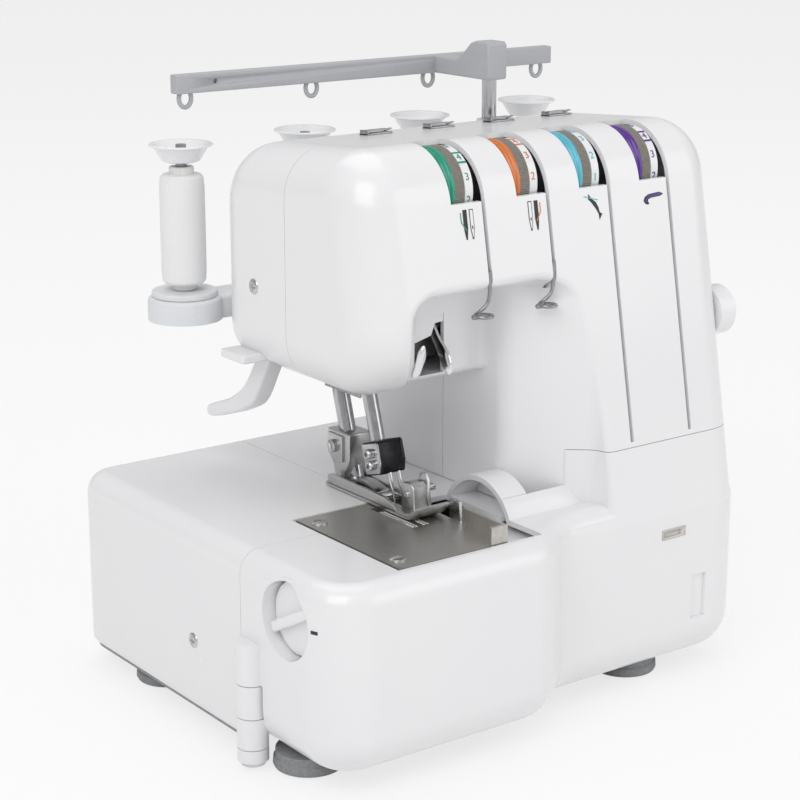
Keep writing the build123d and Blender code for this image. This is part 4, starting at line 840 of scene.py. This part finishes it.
side_shape = [(1.8, 0.2), (-10.2, 0.2), (-10.9, -0.4), (-10.9, -9.3), (-9.2, -13.9), (1.8, -13.9)]
side_outline = [on_bar(-8.2, y, along) for y, along in side_shape]
clamp_side = cut_plate("clamp_side", side_outline, (1.0 * mm, 0, 0), 0.3 * mm)
settle(clamp_side, "needle_drive", "steel", drawn_steel)
screw_profile = [
    (0, -1.4), (1.1, -1.4), (1.1, -3.0), (1.9, -3.0), (2.3, -2.5), (2.3, -0.5), (2.0, -0.2), (2.0, 0.4),
    (0, 0.4),
]
side_screws = [
    turned("side_screw", screw_profile, on_bar(-8.3, -5.0, -drop), along_x, 40) for drop in (4.2, 9.8)
]
settle(joined("bright_screws", side_screws), "needle_drive", "steel", ground_steel, "clamp_screws")

needle_profile = [
    (0, 0), (0.9, 0), (1.0, -0.3), (1.0, -15.4), (0.75, -17.5), (0.5, -18.8), (0.5, -37), (0.38, -40),
    (0, -41.4),
]
needles = [turned("needle", needle_profile, on_bar(x, -8.7, -5), tuple(bar_up), 24) for x in (-2.5, 2.5)]
settle(joined("pointed_needles", needles), "needle_drive", "steel", bright_chrome, "needles")


# Presser bar, ankle and foot: the ankle is a milled block clamped on the bar by a slotted screw.
# The foot is a pressed steel boat with a turned-up toe, low side walls and a tape guide at the front.
foot_steel = metal("foot_steel", (0.62, 0.62, 0.61), (0.50, 0.50, 0.50), 0.22, 0.18, 420.0, (1.0, 8.0, 1.0))
ankle_shape = [
    (2, 112), (2, 124), (19.8, 124), (19.8, 114), (15, 106), (13.5, 100.2), (5.5, 100.2), (4.4, 106.5),
]
ankle = cut_plate("ankle", side_points(-46 * mm, ankle_shape), (13 * mm, 0, 0), 0.8 * mm, 3)
ankle_side_shape = [(6, 110), (6, 122.5), (18, 122.5), (18, 113), (13, 108)]
ankle_side = cut_plate("ankle_side", side_points(-47.2 * mm, ankle_side_shape), (1.4 * mm, 0, 0), 0.4 * mm)
ankle_screw_profile = [(0, -3.4), (2.4, -3.4), (3.1, -2.9), (3.1, -0.4), (2.2, 0), (0, 0)]
ankle_screw = turned("ankle_screw", ankle_screw_profile, millimetres(-46.6, 12, 117), along_x, 40)
slit_middle = millimetres(-50.0, 12, 117)
slit_turn = (radians(-30), 0, 0)
slit = rounded_block("slit", slit_middle, millimetres(1.8, 0.9, 7), 0.05 * mm, 1, slit_turn)
ankle_pieces = [ankle, ankle_side, cut(ankle_screw, [slit])]
settle(joined("milled_ankle", ankle_pieces), "presser", "chrome", foot_steel, "presser_ankle")

sole_shape = [
    (15, 97.3), (15.6, 98.6), (14.6, 99.8), (-48, 99.8), (-51, 100.6), (-54, 102.6), (-56.2, 104.8),
    (-57.6, 104.3), (-56.4, 102.2), (-54, 99.6), (-51.4, 97.9), (-48, 97.3),
]
left_wall_shape = [(13, 98.5), (13.6, 103.0), (10, 104.2), (-32, 103.6), (-38, 101.8), (-42, 98.5)]
right_wall_shape = [(13, 98.5), (13, 102.2), (4, 102.6), (-10, 101.4), (-38, 101.2), (-42, 98.5)]
spring_shape = [(13, 100.6), (13, 101.8), (-8, 103.8), (-17, 101.6), (-18, 100.6), (-8, 102.6)]
upright_shape = [(-37.6, 99), (-37.2, 109.4), (-38.6, 111.6), (-44.4, 112.0), (-46.6, 110.2), (-47.4, 99)]
guide_fin_shape = [
    (-39, 99.5), (-38.4, 111), (-40.4, 115), (-43.0, 115.4), (-45.2, 112.2), (-45.4, 105), (-47, 99.5),
]
sole = cut_plate("sole", side_points(-50.5 * mm, sole_shape), (18 * mm, 0, 0), 0.5 * mm)
needle_slot = rounded_block("slot", millimetres(-39.5, -29, 99), millimetres(10, 18, 14), 0.4 * mm, 1)
foot_pieces = [cut(sole, [needle_slot])]
for name, left, outline, thickness, rounding, segments in (
    ("wall", -50.5, left_wall_shape, 1.5, 0.4, 2),
    ("wall", -34, right_wall_shape, 1.5, 0.4, 2),
    ("spring", -44.6, spring_shape, 7, 0.2, 2),
    ("upright", -45, upright_shape, 8, 0.7, 3),
    ("guide_fin", -36.4, guide_fin_shape, 2.2, 0.5, 2),
):
    outline_points = side_points(left * mm, outline)
    foot_pieces.append(cut_plate(name, outline_points, (thickness * mm, 0, 0), rounding * mm, segments))
tape_lip_size = millimetres(4.6, 5.6, 2.6)
foot_pieces.append(rounded_block("tape_lip", millimetres(-33.2, -42.4, 108.4), tape_lip_size, 0.5 * mm))
pivot_profile = [(0, -1.0), (1.3, -1.0), (1.6, -0.7), (1.6, 0.2), (0, 0.2)]
foot_pieces.append(turned("pivot", pivot_profile, millimetres(-45, -42.2, 106.6), along_x, 32))
settle(joined("steel_foot", foot_pieces), "presser", "chrome", foot_steel, "presser_foot")


# Lifter lever and thread cutter: a smooth white moulded lever behind the head that lifts the presser foot,
# and a small white tab above it that hides a cutting edge.
lifter_shape = smooth_outline([
    (18.6, 169.5), (24, 172), (29.6, 168.6), (37, 156), (46, 143.6), (58, 135), (72, 129.4), (79.6, 126.2),
    (80.4, 122.6), (76.4, 121.2), (62, 125.2), (48, 130.6), (38.4, 136.4), (30, 149),
])
lifter_plate = cut_plate("lifter_plate", side_points(-76 * mm, lifter_shape), (10 * mm, 0, 0), 2.2 * mm, 4)
lifter_pivot = turned("lifter_pivot", rod_profile(3, 0, 24), millimetres(-76, 24, 166), along_x, 40)
lifter = joined("moulded_lifter", [lifter_plate, lifter_pivot])
settle(lifter, "lifter", "white_gloss", shell_white, "presser_lifter")
softened("thread_cutter", "machine", "white_gloss", shell_white, 0.8 * mm)


# Throat plate and latch plate: the throat plate is pressed steel with a turned-up flange and ground slots.
# A white floor on a short leg closes the well beside it, and the latch plate is a bright strip let into
# the front cover.
plate_steel = metal("plate_steel", (0.62, 0.60, 0.57), (0.50, 0.48, 0.45), 0.26, 0.2, 300.0, (1.0, 7.0, 1.0))
dress(plate_steel, "throat_plate")
floor_middle = millimetres(-18.4, -81.5, 91.0)
knife_floor = rounded_block("knife_floor", floor_middle, millimetres(23.0, 31.0, 1.6), 0.4 * mm)
leg_middle = millimetres(-21.5, -66.0, 75.5)
floor_leg = rounded_block("floor_leg", leg_middle, millimetres(5.0, 6.0, 31.0), 0.4 * mm)
settle(joined("knife_floor", [knife_floor, floor_leg]), "machine", "white_gloss", shell_white)
latch_low, latch_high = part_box("latch_plate")
latch_middle = (latch_low + latch_high) / 2
strip = rounded_block("latch_strip", latch_middle, latch_high - latch_low, 0.4 * mm)
window_middle = (latch_middle.x - 1.2 * mm, latch_low.y, latch_middle.z)
window = rounded_block("window", window_middle, millimetres(9.5, 1.2, 2.2), 0.3 * mm)
settle(cut(strip, [window]), "door", "chrome", plate_steel, "latch_plate")


# Thread stand: a grey-white moulded beam behind the head with four steel pins, each with a white pad below
# and a white cap on top that steadies a spool. One spool of white thread stands on the left pin.
stand_grey = grained_plastic("stand_grey", (0.79, 0.81, 0.83), (0.765, 0.785, 0.805), 0.34, 700.0)
softened("spool_stand", "machine", "grey_plastic", stand_grey, 1.2 * mm)
dress(guide_steel, "spool_pins")
pad_white = grained_plastic("pad_white", (0.80, 0.81, 0.82), (0.76, 0.77, 0.78), 0.42, 260.0)
softened("spool_pads", "machine", "rubber_grey", pad_white, 0.8 * mm)
cap_low, cap_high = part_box("spool_caps")
cap_y = (cap_low.y + cap_high.y) / 2
cap_tall = 8.5
cap_profile = [
    (2.7, 0), (7.6, 0), (8.8, 0.5), (9.6, 1.6), (12.6, 6.4), (13.4, 7.2), (14.9, 7.6), (14.9, 8.2),
    (14.5, cap_tall), (13.0, 8.2), (12.0, 7.2), (8.6, 2.3), (7.6, 1.6), (5.0, 1.5), (4.8, 4.8), (4.2, 5.2),
    (2.7, 5.2), (2.7, 0),
]
caps = [
    turned("cap", cap_profile, (x * mm, cap_y, (rim_z - cap_tall) * mm), along_z)
    for x, rim_z in ((-91, 256.0), (-22, 257.0), (47, 258.5), (116, 261.0))
]
settle(joined("net_caps", caps), "machine", "white_gloss", shell_white, "spool_caps")


def wound_thread():
    """White polyester thread: fine level windings with a slow criss-cross in shade and relief."""
    material, shader, place = new_finish("wound_thread", IOR=1.45, Sheen_Weight=0.3)
    winding = {"Vector": place, "Scale": 420.0, "Distortion": 1.2, "Detail": 2.0}
    turns = place.add("ShaderNodeTexWave", {"bands_direction": "Z"}, winding, 1)
    drift = cloudy(place, 120.0, 3.0)
    two_shades(shader, turns * 0.6 + drift * 0.4, (0.86, 0.86, 0.87), (0.90, 0.90, 0.90), 0.2, 0.8)
    (drift * 0.2 + 0.55).into(shader, "Roughness")
    relief(shader, turns, 0.06, 0.0003)
    return material


core_low, core_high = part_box("spool_core")
pack_low, pack_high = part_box("thread_pack")
spool_centre = ((pack_low.x + pack_high.x) / 2, (pack_low.y + pack_high.y) / 2)
core_tall = (core_high.z - core_low.z) / mm
core_profile = [
    (2.9, 0), (5.4, 0), (5.8, 0.5), (5.8, core_tall - 0.5), (5.4, core_tall), (2.9, core_tall), (2.9, 0),
]
core = turned("core", core_profile, (*spool_centre, core_low.z), along_z, 64)
settle(core, "spool", "white_gloss", mark_white, "spool_core")
pack_tall = (pack_high.z - pack_low.z) / mm
pack_profile = [
    (5.9, 0), (9.2, 0.2), (10.2, 1.4), (10.55, 6), (10.6, pack_tall / 2), (10.5, pack_tall - 6),
    (10.1, pack_tall - 1.4), (9.0, pack_tall - 0.2), (5.9, pack_tall), (5.9, 0),
]
pack = turned("pack", pack_profile, (*spool_centre, pack_low.z), along_z, 96)
settle(pack, "spool", "thread", wound_thread(), "thread_pack")


# Thread guide: a drawn steel telescopic pole, which slides in a white tube inside the head and carries a
# grey moulded bar. The bar has four closed hooks and a wedge-shaped socket that joins it to the pole.
dress(grained_plastic("tube_white", (0.80, 0.80, 0.81), (0.74, 0.74, 0.76), 0.3, 260.0), "pole_tube")
bar_grey = grained_plastic("bar_grey", (0.47, 0.48, 0.50), (0.445, 0.455, 0.475), 0.4, 900.0)
dress(drawn_steel, "guide_pole")
bar_low, bar_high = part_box("guide_bar")
bar_y = 72 * mm
bar_top = 287.5 * mm
bar_tall = 8.8 * mm
bar_deep = 6.0 * mm
bar_middle = ((bar_low.x + bar_high.x) / 2, bar_y, bar_top - bar_tall / 2)
bar = rounded_block("bar", bar_middle, (bar_high.x - bar_low.x, bar_deep, bar_tall), 0.7 * mm)
bar_hole = turned("hole", rod_profile(1.3, -5, 5), (-73 * mm, bar_y, bar_top - 4 * mm), along_y, 32)
bar_pieces = [cut(bar, [bar_hole])]
hook_z = bar_top - bar_tall - 2.4 * mm
for x in millimetres(-88, -18, 52, 122):
    points = []
    for step in range(19):
        turn = radians(90 + 20 * step)
        points.append((x + cos(turn) * 3.3 * mm, bar_y, hook_z + sin(turn) * 4.1 * mm))
    bar_pieces.append(bent_wire("hook", points, 1.1 * mm))
pole_low, pole_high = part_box("guide_pole")
pole_middle = ((pole_low.x + pole_high.x) / 2, (pole_low.y + pole_high.y) / 2)
socket_shape = [
    (26.5, 278.7), (26.5, 295.4), (28, 297), (37.5, 297), (41, 295.8), (50, 288), (53, 287.3), (71, 287.3),
    (71, 278.7),
]
socket_wide = 12 * mm
socket_outline = side_points(pole_middle[0] - socket_wide / 2, socket_shape)
socket = cut_plate("socket", socket_outline, (socket_wide, 0, 0), 1.4 * mm, 4)
hole_foot = (*pole_middle, bar_high.z - 18.3 * mm)
pole_hole = turned("hole", rod_profile(3.65, -1, 7), hole_foot, along_z, 48)
bar_pieces.append(cut(socket, [pole_hole]))
settle(joined("hooked_bar", bar_pieces), "pole", "grey_plastic", bar_grey, "guide_bar")
